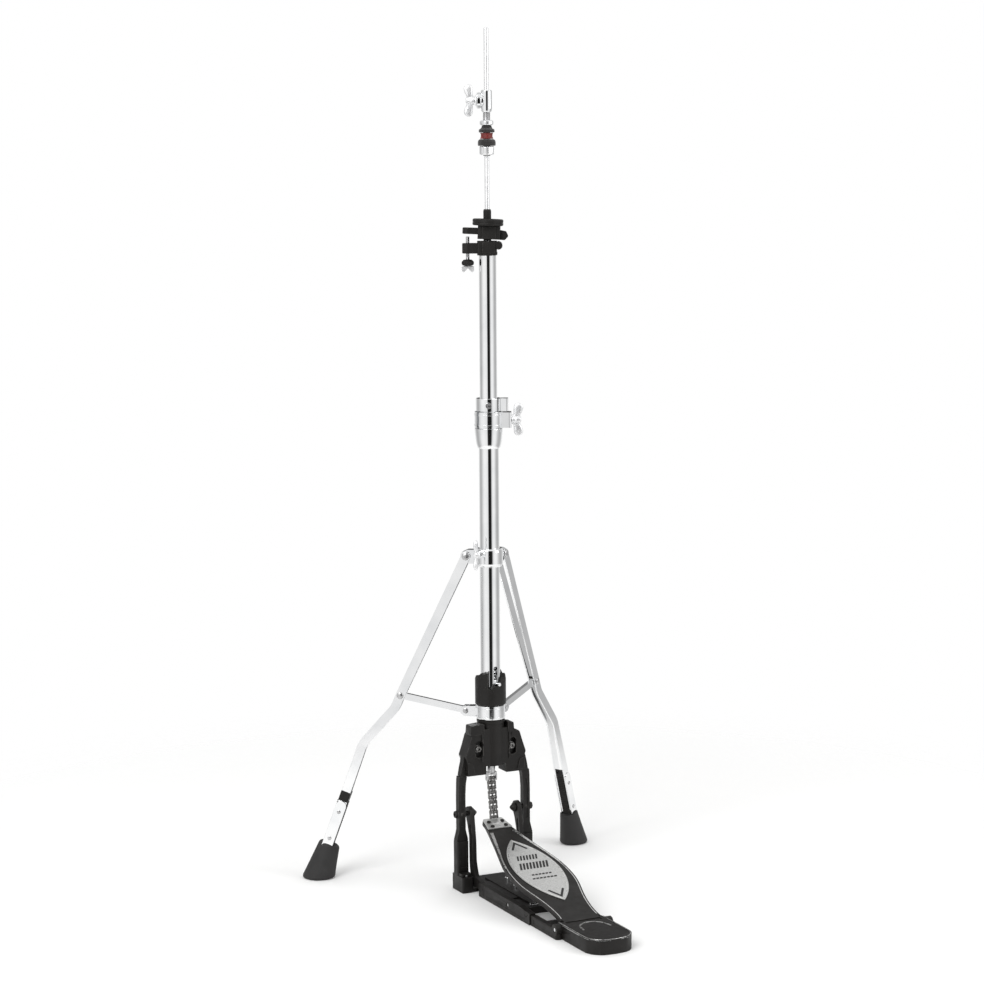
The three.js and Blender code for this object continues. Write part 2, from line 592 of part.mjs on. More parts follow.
function makeCollar() {
  const foot = 419;
  const top = 442.5;
  const bore = rod(BASE_R + GAP, foot - 1, top + 1, ROUND);
  let collar = turned([[0, foot], [15.5, foot], [17.2, foot + 2.5], [17.2, top - 1.5], [16, top], [0, top]]);
  const inner = STRAP_Y - STRAP_T / 2 - GAP;
  for (const side of [-1, 1]) {
    const tongue = box(13, LEG_R, -inner, inner, LEG_Z - 9, LEG_Z + 7);
    const eye = bar([LEG_R, -inner, LEG_Z], [LEG_R, inner, LEG_Z], 6.5);
    const pin = bar([LEG_R, -9, LEG_Z], [LEG_R, 9, LEG_Z], 3);
    collar = joined(collar, lug(side, joined(tongue, eye, pin)));
  }
  const boss = place(bar([13, 0, SCREW_Z], [SCREW_R - GAP, 0, SCREW_Z], 5), 0, 0, 0, SCREW_TURN);
  const hole = place(bar([10, 0, SCREW_Z], [30, 0, SCREW_Z], 2.4), 0, 0, 0, SCREW_TURN);
  piece(stand, 'leg_collar', joined(collar, boss).subtract(bore).subtract(hole), CHROME);
  const wing = wingBolt(2, 14, 4.5, 7, 39).translate([SCREW_R, 0, SCREW_Z]);
  piece(stand, 'collar_wing_screw', place(wing, 0, 0, 0, SCREW_TURN), CHROME);
}

// ---------- pedal ----------
function makeFrame() {
  const plate = box(-31, 31, -147, 22, 0, 6);
  const spine = box(-9, 9, -147, 4, 5, 9);
  const rails = [-1, 1].map((side) => {
    const inner = side * RAIL_IN;
    const outer = side * RAIL_OUT;
    const outline = [[-45, 0], [-45, RAIL_H], [-165, RAIL_H], [RAIL_END_Y, RAIL_H - 2.5], [RAIL_END_Y, 0]];
    return sidePlate(outline, Math.min(inner, outer), Math.max(inner, outer));
  });
  const ties = joined(box(-33, 33, -147, -132, 0, 9), box(-33, 33, -62, -46, 0, 6));
  piece(stand, 'front_frame', joined(plate, spine, ties, ...rails), BLACK_CAST);
}

function makeArm(side, name) {
  const outline = [
    [-14, 99], [-19.5, 66], [-21, 36], [-28, 20], [-44.6, 16.6], [-44.6, 6.4],
    [-22, 6.4], [-14.5, 15], [-11, 27], [-10, 40], [-9.6, 70], [-4, 86], [3, 99],
  ];
  const arm = joined(sidePlate(outline, 31.4, 36.8), bar([31.4, PIVOT_Y, PIVOT_Z], [36.8, PIVOT_Y, PIVOT_Z], 8.6));
  const hole = bar([20, PIVOT_Y, PIVOT_Z], [40, PIVOT_Y, PIVOT_Z], PIVOT_R + GAP);
  const body = arm.subtract(hole);
  piece(stand, `${name}_side_arm`, side < 0 ? body.mirror([1, 0, 0]) : body, BLACK_CAST);
  const shank = bar([30, PIVOT_Y, PIVOT_Z], [53, PIVOT_Y, PIVOT_Z], PIVOT_R);
  const head = bar([51.5, PIVOT_Y, PIVOT_Z], [55.5, PIVOT_Y, PIVOT_Z], 5.2, 6);
  const knobProfile = [[0, 0], [4, 0], [7.4, 4.5], [7.4, 6.6], [0, 6.6]];
  const knob = turned(knobProfile, SMALL).rotate([0, 90, 0]).translate([24.4, PIVOT_Y, PIVOT_Z]);
  const pivot = joined(shank, head, knob);
  piece(stand, `${name}_arm_pivot`, side < 0 ? pivot.mirror([1, 0, 0]) : pivot, BLACK_STEEL);
}

function makeHeel() {
  const lugIn = 24.6;
  const rear = HINGE_Y - 6.5;
  const plan = (railEnd, widest) => mirrored([
    [0, HEEL_END_Y], [15, HEEL_END_Y + 2], [24, HEEL_END_Y + 7.5], [30.5, HEEL_END_Y + 21], [31, -268],
    [widest, -258], [widest, railEnd], [31, railEnd], [31, -246.5], [lugIn, -246.5], [lugIn, rear],
  ]);
  const low = slab(plan(RAIL_END_Y - GAP, 39), 0, 13);
  const high = slab(plan(-247, 31.2), 12, HEEL_H);
  const web = box(-32, 32, -244, -198, 0, 6);
  const pinHole = bar([-40, HINGE_Y, HINGE_Z], [40, HINGE_Y, HINGE_Z], 2.5 + GAP);
  piece(stand, 'heel_base', joined(low, high, web).subtract(pinHole), BLACK_CAST);
  piece(stand, 'heel_pin', bar([-38.5, HINGE_Y, HINGE_Z], [38.5, HINGE_Y, HINGE_Z], 2.5), CHROME);
}

// Half-widths of the footboard at distances from its hinge.
const BOARD_SIDE = [[27.6, 3], [26.5, 24], [30, 52], [39.5, 92], [41, 122], [37.5, 150], [26.5, 196], [16.5, 242], [14.5, 258], [12.5, BOARD_L]];

function boardShape(inset, from, to) {
  const curve = new THREE.SplineCurve(BOARD_SIDE.map(([x, u]) => new THREE.Vector2(x, u)));
  const side = curve.getPoints(36).filter((p) => p.y >= from && p.y <= to).map((p) => [p.x - inset, p.y]);
  return mirrored(side);
}

function makeFootboard() {
  const board = new THREE.Group();
  board.position.set(0, HINGE_Y, HINGE_Z);
  board.rotation.x = BOARD_TILT;
  stand.add(board);
  const lugRoom = [-1, 1].map((side) => box(side * 34 - 9.6, side * 34 + 9.6, -2, 8, -20, 20));
  const outline = slab(boardShape(0, 3, BOARD_L), BOARD_TOP - BOARD_T, BOARD_TOP);
  const deck = outline.subtract(lugRoom[0]).subtract(lugRoom[1]);
  const barrel = bar([-24.2, 0, 0], [24.2, 0, 0], 5);
  const web = box(-24.2, 24.2, 0, 12, -1, BOARD_TOP - 1);
  const ribs = [-1, 1].map((side) => box(side * 8 - 1.5, side * 8 + 1.5, 8, 236, BOARD_TOP - BOARD_T - 4, BOARD_TOP - 1));
  const pinHole = bar([-50, 0, 0], [50, 0, 0], 2.5 + GAP);
  piece(board, 'footboard', joined(deck, barrel, web, ...ribs).subtract(pinHole), BLACK_CAST);

  const [from, to, half] = [50, 204, 31];
  const radius = (((to - from) / 2) ** 2 + half ** 2) / (2 * half);
  const sweep = Math.asin((to - from) / 2 / radius);
  const lens = new THREE.Shape();
  lens.absarc(half - radius, (from + to) / 2, radius, -sweep, sweep);
  lens.absarc(radius - half, (from + to) / 2, radius, Math.PI - sweep, Math.PI + sweep);
  piece(board, 'badge_plate', slab(lens, BOARD_TOP + GAP, BOARD_TOP + 1.2), SILVER);
  const toeTop = BOARD_TOP + 2.2;
  piece(board, 'toe_plate', slab(boardShape(0.4, 233, BOARD_L), BOARD_TOP + GAP, toeTop), SILVER);
}

makeTubes();
makeHub();
makeColumn(-1, 'left_column');
makeColumn(1, 'right_column');
makeHubBolt(-1, 'left_hub_bolt');
makeHubBolt(1, 'right_hub_bolt');
makeClamp();
makeMemoryLock();
makeSeat();
makeClutch();
makeRods();
makeYoke();
makeCam();
makeSpring();
makeAdapter();
makeChain();
makeRing();
makeCollar();
makeLeg(-1, 'left');
makeLeg(1, 'right');
makeFrame();
makeArm(-1, 'left');
makeArm(1, 'right');
makeHeel();
makeFootboard();

export default stand;
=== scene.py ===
import math

import bmesh
import bpy
from mathutils import Matrix, Vector


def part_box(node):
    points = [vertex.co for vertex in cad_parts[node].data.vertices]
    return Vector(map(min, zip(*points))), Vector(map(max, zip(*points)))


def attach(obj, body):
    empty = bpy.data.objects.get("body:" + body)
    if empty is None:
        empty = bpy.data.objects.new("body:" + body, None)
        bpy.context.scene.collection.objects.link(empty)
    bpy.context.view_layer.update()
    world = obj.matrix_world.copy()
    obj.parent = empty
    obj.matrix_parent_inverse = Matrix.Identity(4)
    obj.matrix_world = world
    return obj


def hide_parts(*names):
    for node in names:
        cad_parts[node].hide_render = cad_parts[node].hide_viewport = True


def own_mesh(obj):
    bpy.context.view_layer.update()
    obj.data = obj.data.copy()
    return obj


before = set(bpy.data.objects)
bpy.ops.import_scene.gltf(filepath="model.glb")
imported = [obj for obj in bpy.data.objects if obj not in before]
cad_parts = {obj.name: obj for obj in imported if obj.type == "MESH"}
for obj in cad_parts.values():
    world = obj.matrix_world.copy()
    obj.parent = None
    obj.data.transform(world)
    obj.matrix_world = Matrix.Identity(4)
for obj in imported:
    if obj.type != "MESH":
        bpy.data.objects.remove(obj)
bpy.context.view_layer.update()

# A two-legged hi-hat stand. Shapes are built in millimetres in the part's frame, and piece() scales them
# to metres.
MM = 0.001

# ---------- driving dimensions, millimetres ----------
GAP = 0.35  # clearance between pieces that move past each other
ROUND, SMALL, TUBE_SIDES = 96, 32, 128  # sides of turned solids
BASE_R, BASE_BORE, UPPER_R, UPPER_BORE = 12.7, 11.5, 11.1, 9.9
BASE_FIT, UPPER_FIT, ROD_FIT = 13.05, 11.45, 3.85  # bores that clear the two tubes and the lower rod
DOME_STEPS, BADGE_STEPS = 8, 28
BEVEL_ANGLE = math.radians(32)  # edges sharper than this are rounded
SHARP_ANGLE = math.radians(38)  # edges sharper than this stay sharp in the shading
FACING = math.radians(-26)  # the clamp, seat and clutch are turned to the pedal's left
LEG_ANGLE = math.radians(124.6)  # of each leg from the pedal's direction
LEG_PIN = LEG_R, LEG_Z = 30.0, 432.0
BRACE_PIN = BRACE_R, BRACE_Z = 32.0, 230.0
BRACE_TIP = (118.0, 247.4)
COLLAR_FOOT, COLLAR_TOP = 419.0, 442.5
STRAP_W, STRAP_T, STRAP_Y, WAIST_Y = 12.0, 2.0, 6.5, 4.0
STRAP_PATH = [
    (LEG_R, LEG_Z, STRAP_Y), (37.0, 417.3, STRAP_Y), (*BRACE_TIP, WAIST_Y), (124.7, 231.4, WAIST_Y),
    (168.5, 181.7, 4.6), (193.0, 112.0, STRAP_Y), (218.5, 42.0, STRAP_Y),
]
STRAP_IN = STRAP_Y - STRAP_T / 2 - GAP  # half the room between a leg's two straps
FOOT_R, FOOT_H, FOOT_SHEAR, FOOT_SLOPE = 231.3, 47.0, -0.345, 0.36
FOOT_LEVELS = [0.0, 0.4, 1.1, 2.1, 3.3, 4.5, 9, 15, 21, 27, 33, 39, 44.0, 45.3, 46.3, 46.85, FOOT_H]
FOOT_SIDES, FOOT_FILLET, FOOT_BROW = 64, 4.5, 3.0  # sides; heights of its rounded lower and upper edges
STUD_TURN, STUD_R = math.radians(6), 2.2
SLEEVE_BORE, NUT_BORE = 3.45, 4.95  # the clutch's bores over the rod and over its threaded tube
CLAMP_STEP_Z, CLAMP_SCREW_Z, LOCK_SCREW_Z, CLUTCH_SCREW_Z = 600, 608, 627, 1010
SEAT_FOOT, SEAT_TOP, TILT_SCREW_X = 816.95, 834.6, -25
HUB_SCREW_X, HUB_SCREW_Z = 24.0, 184.0
CAM_VALLEYS = (-0.1, 0.072, 0.2278, 0.4013, 0.5749, 0.7484, 0.9222, 1.08)  # rests, in shares of half a turn
HEEL_TOP, HEEL_FRONT = 18.5, -247
CAM_LOW, CAM_RISE = 259.5, 23.5
CAM_START = math.radians(-41)
PIVOT, HINGE = (-5.5, 99.5), (-252.0, 11.5)
BOARD_TILT = math.radians(15)
BOARD_TOP, BOARD_T, BOARD_L = 6.7, 5.0, 261.0
BAND_START, BAND_END = 138, 234
BADGE_START, BADGE_END, BADGE_HALF = 50.0, 204.0, 31.0
BADGE_RADIUS = (((BADGE_END - BADGE_START) / 2) ** 2 + BADGE_HALF ** 2) / (2 * BADGE_HALF)
CHAIN_TOP, CHAIN_PITCH, CHAIN_LINKS = 141.0, 6.35, 8
CHAIN_LEAN = math.radians(-8.7)
SCREW_TURN, SCREW_R, SCREW_Z = math.radians(212), 28.3, 437.4

SIDES = ((-1, "left"), (1, "right"))
HERE = Matrix.Identity(4)
FACED = Matrix.Rotation(FACING, 4, "Z")
BOARD = Matrix.Translation((0, *HINGE)) @ Matrix.Rotation(BOARD_TILT, 4, "X")
CHAIN = Matrix.Translation((0, 0, CHAIN_TOP)) @ Matrix.Rotation(CHAIN_LEAN, 4, "X")
STUDS = Matrix.Rotation(STUD_TURN, 4, "Z")
TILT_SCREW = Matrix.Translation((TILT_SCREW_X, 0, 0))
CUP_AXIS = Matrix.Translation((-14, 0, 0))
CUP = FACED @ Matrix.Translation((14, 0, 838)) @ Matrix.Rotation(math.radians(2.4), 4, "Y")


def leg_frame(side):
    return Matrix.Rotation(side * LEG_ANGLE - math.pi / 2, 4, "Z")


def levels(node):
    """A CAD node's lowest and highest level, in millimetres."""
    low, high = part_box(node)
    return low.z / MM, high.z / MM


# ---------- outlines ----------
def rounded(points, radius, closed=True, steps=4):
    """The points with each corner replaced by a curve of about that radius."""
    out = []
    last = len(points) - 1
    for i, point in enumerate(points):
        here = Vector(point[:2])
        if not closed and i in (0, last):
            out.append(tuple(here))
            continue
        before = Vector(points[i - 1][:2]) - here
        after = Vector(points[(i + 1) % len(points)][:2]) - here
        angle = before.angle(after)
        if angle > math.pi - 0.02:
            out.append(tuple(here))
            continue
        wanted = point[2] if len(point) > 2 else radius
        reach = min(wanted / math.tan(angle / 2), before.length * 0.48, after.length * 0.48)
        start = here + before.normalized() * reach
        end = here + after.normalized() * reach
        for s in range(steps + 1):
            t = s / steps
            out.append(tuple(start * (1 - t) ** 2 + here * 2 * t * (1 - t) + end * t * t))
    return out


def rect(x0, x1, y0, y1):
    return [(x0, y0), (x1, y0), (x1, y1), (x0, y1)]


def mirrored(outline):
    return list(outline) + [(-point[0], *point[1:]) for point in reversed(outline) if abs(point[0]) > 1e-6]


def ribbon(path, width, end_steps=10):
    """The outline of a strip along a path, with round ends."""
    half = width / 2
    points = [Vector(p) for p in path]
    left, right = [], []
    for i, point in enumerate(points):
        into = (point - points[i - 1]).normalized() if i else (points[1] - point).normalized()
        out = (points[i + 1] - point).normalized() if i + 1 < len(points) else into
        along = (into + out).normalized()
        square = Vector((-along.y, along.x)) * half / max(along.dot(into), 0.5)
        left.append(point + square)
        right.append(point - square)

    def cap(centre, start):
        turns = [-math.pi * s / end_steps for s in range(1, end_steps)]
        arm = start - centre
        return [centre + Matrix.Rotation(t, 2) @ arm for t in turns]

    outline = left + cap(points[-1], left[-1]) + right[::-1] + cap(points[0], right[0])
    return [tuple(p) for p in outline]


def spline(points, steps=6):
    """A smooth curve through the points."""
    out = []
    for i in range(len(points) - 1):
        p0, p1 = Vector(points[max(i - 1, 0)]), Vector(points[i])
        p2, p3 = Vector(points[i + 1]), Vector(points[min(i + 2, len(points) - 1)])
        for s in range(steps):
            t = s / steps
            bend, twist = 2 * p0 - 5 * p1 + 4 * p2 - p3, 3 * p1 - p0 - 3 * p2 + p3
            out.append(tuple(0.5 * (2 * p1 + (p2 - p0) * t + bend * t * t + twist * t ** 3)))
    out.append(tuple(points[-1]))
    return out


# ---------- closed solids, as temporary objects in millimetres ----------
def shape(bm):
    bmesh.ops.recalc_face_normals(bm, faces=bm.faces)
    mesh = bpy.data.meshes.new("shape")
    bm.to_mesh(mesh)
    bm.free()
    obj = bpy.data.objects.new("shape", mesh)
    bpy.context.scene.collection.objects.link(obj)
    return obj


def bridged(rings, closed=False):
    """A skin over rings of points, closed round the end or capped."""
    bm = bmesh.new()
    rows = [[bm.verts.new(p) for p in ring] for ring in rings]
    pairs = list(zip(rows, rows[1:]))
    if closed:
        pairs.append((rows[-1], rows[0]))
    else:
        bm.faces.new(rows[0])
        bm.faces.new(rows[-1])
    for a, b in pairs:
        for k in range(len(a)):
            j = (k + 1) % len(a)
            bm.faces.new((a[k], a[j], b[j], b[k]))
    return shape(bm)


AXES = {
    "xy": lambda a, b, c: (a, b, c),
    "xz": lambda a, b, c: (a, c, b),
    "yz": lambda a, b, c: (c, a, b),
}


def prism(outline, low, high, plane="xy"):
    put = AXES[plane]
    return bridged([[put(a, b, c) for a, b in outline] for c in (low, high)])


def block(x0, x1, y0, y1, z0, z1):
    return prism(rect(x0, x1, y0, y1), z0, z1)


def slab(points, radius, low, high, plane="xy"):
    """A prism with its outline's corners rounded."""
    return prism(rounded(points, radius), low, high, plane)


def turned(profile, sides=ROUND, closed=False):
    """A solid of revolution about Z from (radius, height) pairs: capped flat, or closed into a ring."""
    turns = [2 * math.pi * k / sides for k in range(sides)]
    rings = [[(r * math.cos(t), r * math.sin(t), z) for t in turns] for r, z in profile]
    return bridged(rings, closed)


def lathe(profile, radius, sides=ROUND, closed=True):
    """A solid of revolution with its profile's corners rounded."""
    return turned(rounded(profile, radius, closed), sides, closed)


def ring(outer, bore, z0, z1, edge=0.4, sides=ROUND):
    """A pipe with rounded rims."""
    section = rounded([(bore, z0), (outer, z0), (outer, z1), (bore, z1)], edge, steps=3)
    return turned(section, sides, closed=True)


def rod(radius, z0, z1, edge=0.4, sides=SMALL):
    """A round bar about Z with rounded rims."""
    profile = [(radius * 0.2, z0), (radius, z0), (radius, z1), (radius * 0.2, z1)]
    return turned(rounded(profile, edge, closed=False, steps=3), sides)


def aimed(start, end):
    """The frame whose Z runs from start towards end."""
    turn = (Vector(end) - Vector(start)).to_track_quat("Z", "Y").to_matrix().to_4x4()
    return Matrix.Translation(start) @ turn


def bar(start, end, radius, edge=0.0, sides=SMALL):
    """A round bar between two points, its rims rounded if it has an edge."""
    length = (Vector(end) - Vector(start)).length
    solid = rod(radius, 0, length, edge, sides) if edge else turned([(radius, 0), (radius, length)], sides)
    return moved(solid, aimed(start, end))


def cross_bar(x0, x1, at, radius, edge=0.0, sides=SMALL):
    """A bar along X at (y, z)."""
    return bar((x0, *at), (x1, *at), radius, edge, sides)


def pin(at, y0, y1, radius, edge=0.0):
    """A bar along Y at (x, z)."""
    return bar((at[0], y0, at[1]), (at[0], y1, at[1]), radius, edge)


def flutes(count, distance, radius, z0, z1):
    """Upright bars in a circle, to cut a fluted rim."""
    turns = [Matrix.Rotation(math.tau * k / count, 4, "Z") for k in range(count)]
    return [moved(bar((distance, 0, z0), (distance, 0, z1), radius, sides=12), turn) for turn in turns]


def line_at(node, bore, lower, upper):
    """A ring's profile: points by height over its CAD node's foot, then by depth under its top."""
    z0, z1 = levels(node)
    rise, fall = [(r, z0 + up) for r, up in lower], [(r, z1 - down) for r, down in upper]
    return [(bore, z0), *rise, *fall, (bore, z1)]


def moved(obj, matrix):
    obj.data.transform(matrix)
    if matrix.determinant() < 0:
        obj.data.flip_normals()
    return obj


def swept(points, radius, sides=12):
    """A round wire along points."""
    path = [Vector(p) for p in points]
    rings = []
    across = (path[1] - path[0]).orthogonal().normalized()
    for i, point in enumerate(path):
        along = (path[min(i + 1, len(path) - 1)] - path[max(i - 1, 0)]).normalized()
        across = (across - along * across.dot(along)).normalized()
        other = along.cross(across)
        turns = [2 * math.pi * k / sides for k in range(sides)]
        rings.append([point + (across * math.cos(t) + other * math.sin(t)) * radius for t in turns])
    return bridged(rings)


def rim(outline, section, top, closed=True):
    """A moulding along a flat outline: section holds (inset, height above top) pairs."""
    points = [Vector(p) for p in outline]
    count = len(points)
    rings = []
    for i, point in enumerate(points):
        before = points[i - 1] if closed or i else point - (points[1] - point)
        after = points[(i + 1) % count] if closed or i + 1 < count else point + (point - points[i - 1])
        along = ((point - before).normalized() + (after - point).normalized()).normalized()
        inward = Vector((-along.y, along.x))
        rings.append([(*(point + inward * inset), top + height) for inset, height in section])
    return bridged(rings, closed)


def applied(obj):
    """Replace an object's mesh by what its modifiers make of it."""
    graph = bpy.context.evaluated_depsgraph_get()
    done = obj.evaluated_get(graph)
    mesh = bpy.data.meshes.new_from_object(done, preserve_all_data_layers=True, depsgraph=graph)
    obj.modifiers.clear()
    obj.data = mesh
    return obj


def fused(base, joins=(), cuts=()):
    """base with other solids joined on and cut away."""
    for operation, others in (("UNION", joins), ("DIFFERENCE", cuts)):
        for other in others:
            step = base.modifiers.new("step", "BOOLEAN")
            step.operation = operation
            step.solver = "MANIFOLD"
            step.object = other
    applied(base)
    for other in [*joins, *cuts]:
        bpy.data.objects.remove(other)
    return base


def together(*objs):
    """Separate solids in one mesh."""
    bm = bmesh.new()
    for obj in objs:
        bm.from_mesh(obj.data)
        bpy.data.objects.remove(obj)
    return shape(bm)


def cleaned(obj):
    """Merge what a boolean leaves split: flat neighbours and slivers."""
    bm = bmesh.new()
    bm.from_mesh(obj.data)
    bmesh.ops.remove_doubles(bm, verts=bm.verts, dist=0.004)
    bmesh.ops.dissolve_degenerate(bm, edges=bm.edges, dist=0.004)
    bmesh.ops.dissolve_limit(bm, angle_limit=math.radians(0.4), verts=bm.verts, edges=bm.edges)
    bm.to_mesh(obj.data)
    bm.free()
    return obj


def softened(obj, width, segments=3):
    """Round every sharp edge."""
    cleaned(obj)
    bevel = obj.modifiers.new("bevel", "BEVEL")
    bevel.width = width
    bevel.segments = segments
    bevel.limit_method = "ANGLE"
    bevel.angle_limit = BEVEL_ANGLE
    return applied(obj)


def piece(obj, name, body, look, nodes=(), slot=None, at=HERE, bevel=0.0, segments=3):
    """Finish a solid: round its edges, put it in place, give it its finish and let it ride on its body."""
    if bevel:
        softened(obj, bevel, segments)
    obj.data.shade_smooth()
    obj.data.set_sharp_from_angle(angle=SHARP_ANGLE)
    even = obj.modifiers.new("even", "WEIGHTED_NORMAL")
    even.keep_sharp = True
    applied(obj)
    moved(obj, Matrix.Scale(MM, 4) @ at)
    obj.name = name
    obj.data.name = name
    obj.data.materials.clear()
    obj.data.materials.append(look)
    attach(obj, body)
    if nodes:
        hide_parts(*nodes)
    return obj


# ---------- finishes ----------
def add_node(tree, kind, inputs, **settings):
    """A new shader node. Each input is set to a constant or linked to another node's output."""
    node = tree.nodes.new(kind)
    for key, value in settings.items():
        setattr(node, key, value)
    for key, value in inputs.items():
        if isinstance(value, bpy.types.NodeSocket):
            tree.links.new(value, node.inputs[key])
        else:
            node.inputs[key].default_value = value
    return node


def color_ramp(tree, source, stops):
    """Colors along a value, from (position, color) stops."""
    node = add_node(tree, "ShaderNodeValToRGB", {"Fac": source})
    elements = node.color_ramp.elements
    elements[0].position = stops[0][0]
    elements[1].position = stops[-1][0]
    for position, _ in stops[1:-1]:
        elements.new(position)
    for element, (_, color) in zip(elements, stops):
        element.color = (*color, 1)
    return node.outputs["Color"]


class Look:
    """A node material built step by step on one Principled shader."""

    def __init__(self, name, color, metallic, roughness, **inputs):
        self.material = bpy.data.materials.new(name)
        self.material.use_nodes = True
        self.tree = self.material.node_tree
        self.shader = self.tree.nodes["Principled BSDF"]
        inputs.update(Base_Color=(*color, 1), Metallic=metallic, Roughness=roughness)
        for key, value in inputs.items():
            self.shader.inputs[key.replace("_", " ")].default_value = value
        self.coords = self.tree.nodes.new("ShaderNodeTexCoord").outputs["Object"]
        self.height = None

    def add(self, kind, output, inputs, **settings):
        return add_node(self.tree, kind, inputs, **settings).outputs[output]

    def feed(self, name, source):
        self.tree.links.new(source, self.shader.inputs[name])

    def noise(self, scale, detail=4.0, roughness=0.55, stretch=None):
        place = self.coords
        if stretch:
            place = self.add("ShaderNodeMapping", "Vector", {"Scale": stretch, "Vector": place})
        inputs = {"Scale": scale, "Detail": detail, "Roughness": roughness, "Vector": place}
        return self.add("ShaderNodeTexNoise", "Fac", inputs)

    def ranged(self, source, low, high, start=0.3, end=0.7):
        inputs = {"From Min": start, "From Max": end, "To Min": low, "To Max": high, "Value": source}
        return self.add("ShaderNodeMapRange", "Result", inputs)

    def painted_edge_highlight(self, reach=0.0011, breakup=180.0):
        """Painted highlight: how near a place is to a convex edge, broken up by noise."""
        near = self.add(
            "ShaderNodeAmbientOcclusion", "AO", {"Distance": reach}, inside=True, only_local=True, samples=4
        )
        edge = self.ranged(near, 1.0, 0.0, 0.35, 0.85)
        broken = self.ranged(self.noise(breakup, 5.0), 0.0, 1.0, 0.40, 0.62)
        return self.add("ShaderNodeMath", "Value", {0: edge, 1: broken}, operation="MULTIPLY")

    def bump(self, source, strength, distance):
        inputs = {"Strength": strength, "Distance": distance, "Height": source}
        if self.height is not None:
            inputs["Normal"] = self.height
        self.height = self.add("ShaderNodeBump", "Normal", inputs)
        self.feed("Normal", self.height)


def finish(name, base, tint, gloss, bumps, **inputs):
    """A look from base (color, metallic, roughness), tint (noise, color stops), gloss (noise, roughness
    range) and bumps (noise, strength, distance). A noise of None is the tint's own."""
    look = Look(name, *base, **inputs)
    noise, stops = tint
    tone = look.noise(*noise)
    look.feed("Base Color", color_ramp(look.tree, tone, stops))
    if gloss:
        noise, span = gloss
        look.feed("Roughness", look.ranged(look.noise(*noise) if noise else tone, *span))
    for noise, strength, distance in bumps:
        look.bump(look.noise(*noise) if noise else tone, strength, distance)
    return look.material


def casting(name, dark, light, gloss, grain):
    """Satin black coat over cast metal: orange peel, faint mottling, and a painted highlight along convex
    edges.
    """
    look = Look(name, dark, 0.0, gloss, Specular_IOR_Level=0.24)
    coat = color_ramp(look.tree, look.noise(26.0, 7.0, 0.6), [(0.3, dark), (0.7, light)])
    # the lighter colour mixed in near convex edges is a painted highlight
    inputs = {"Factor": look.painted_edge_highlight(), "A": coat, "B": (0.085, 0.08, 0.075, 1)}
    look.feed("Base Color", look.add("ShaderNodeMix", "Result", inputs, data_type="RGBA"))
    look.feed("Roughness", look.ranged(look.noise(75.0, 6.0), gloss - 0.07, gloss + 0.12))
    look.bump(look.noise(grain, 4.0, 0.6), 0.10, 0.0003)
    look.bump(look.noise(grain * 0.28, 2.0), 0.05, 0.0005)
    return look.material


CHROME = finish(
    "chrome", ((0.86, 0.87, 0.88), 1.0, 0.06),
    (
        (28.0, 6.0, 0.6),
        [(0.3, (0.80, 0.81, 0.82)), (0.55, (0.88, 0.885, 0.89)), (0.75, (0.92, 0.92, 0.925))],
    ),
    ((60.0, 8.0, 0.7, (1.0, 1.0, 0.25)), (0.035, 0.11, 0.35, 0.8)),
    [((900.0, 2.0, 0.5, (1.0, 1.0, 0.06)), 0.012, 0.0002)],
)
# chrome over an uneven casting: bright from every side, without sharp reflections
CAST_CHROME = finish(
    "cast_chrome", ((0.86, 0.87, 0.88), 1.0, 0.48),
    (
        (70.0, 6.0, 0.6),
        [(0.3, (0.82, 0.83, 0.84)), (0.55, (0.90, 0.90, 0.905)), (0.8, (0.94, 0.94, 0.945))],
    ),
    ((150.0, 6.0, 0.65), (0.40, 0.56)), [((420.0, 3.0, 0.5), 0.05, 0.0003)],
)
SATIN = finish(
    "satin_steel", ((0.62, 0.62, 0.62), 1.0, 0.28),
    ((90.0, 6.0), [(0.3, (0.42, 0.42, 0.42)), (0.6, (0.60, 0.60, 0.605)), (0.8, (0.70, 0.70, 0.71))]),
    ((240.0, 6.0), (0.2, 0.42)),
    [((2600.0, 3.0), 0.05, 0.0002)],
)
OILED = finish(
    "oiled_steel", ((0.35, 0.34, 0.33), 1.0, 0.3),
    (
        (420.0, 6.0, 0.65),
        [(0.35, (0.04, 0.038, 0.036)), (0.55, (0.20, 0.195, 0.19)), (0.75, (0.55, 0.55, 0.55))],
    ),
    (None, (0.22, 0.5)), [((3000.0, 3.0), 0.06, 0.0002)],
)
CASTING = casting("black_casting", (0.0085, 0.0078, 0.0072), (0.0135, 0.0122, 0.0112), 0.44, 1500.0)
MOULDED = casting("black_moulding", (0.0095, 0.0088, 0.0082), (0.0145, 0.0133, 0.0122), 0.52, 2300.0)
PLATE = finish(
    "brushed_plate", ((0.58, 0.58, 0.57), 0.75, 0.4),
    (
        (520.0, 8.0, 0.75),
        [(0.32, (0.42, 0.42, 0.41)), (0.5, (0.58, 0.58, 0.57)), (0.68, (0.70, 0.70, 0.69))],
    ),
    ((160.0, 6.0), (0.32, 0.5)), [((900.0, 4.0, 0.6, (6.0, 0.6, 1.0)), 0.10, 0.0003)], Anisotropic=0.4,
)
EDGE = finish(
    "bright_edge", ((0.75, 0.75, 0.74), 1.0, 0.26),
    ((140.0, 7.0, 0.7), [(0.3, (0.50, 0.50, 0.49)), (0.5, (0.72, 0.72, 0.71)), (0.8, (0.86, 0.86, 0.85))]),
    (None, (0.2, 0.4)),
    [((1800.0, 3.0), 0.08, 0.0002)],
)
RUBBER = finish(
    "rubber", ((0.022, 0.021, 0.021), 0.0, 0.62),
    (
        (48.0, 8.0, 0.7),
        [(0.35, (0.016, 0.0155, 0.0155)), (0.6, (0.026, 0.025, 0.025)), (0.85, (0.06, 0.057, 0.055))],
    ),
    (None, (0.55, 0.8)), [((1500.0, 4.0), 0.25, 0.0004), ((160.0, 3.0), 0.12, 0.001)],
    Specular_IOR_Level=0.4,
)
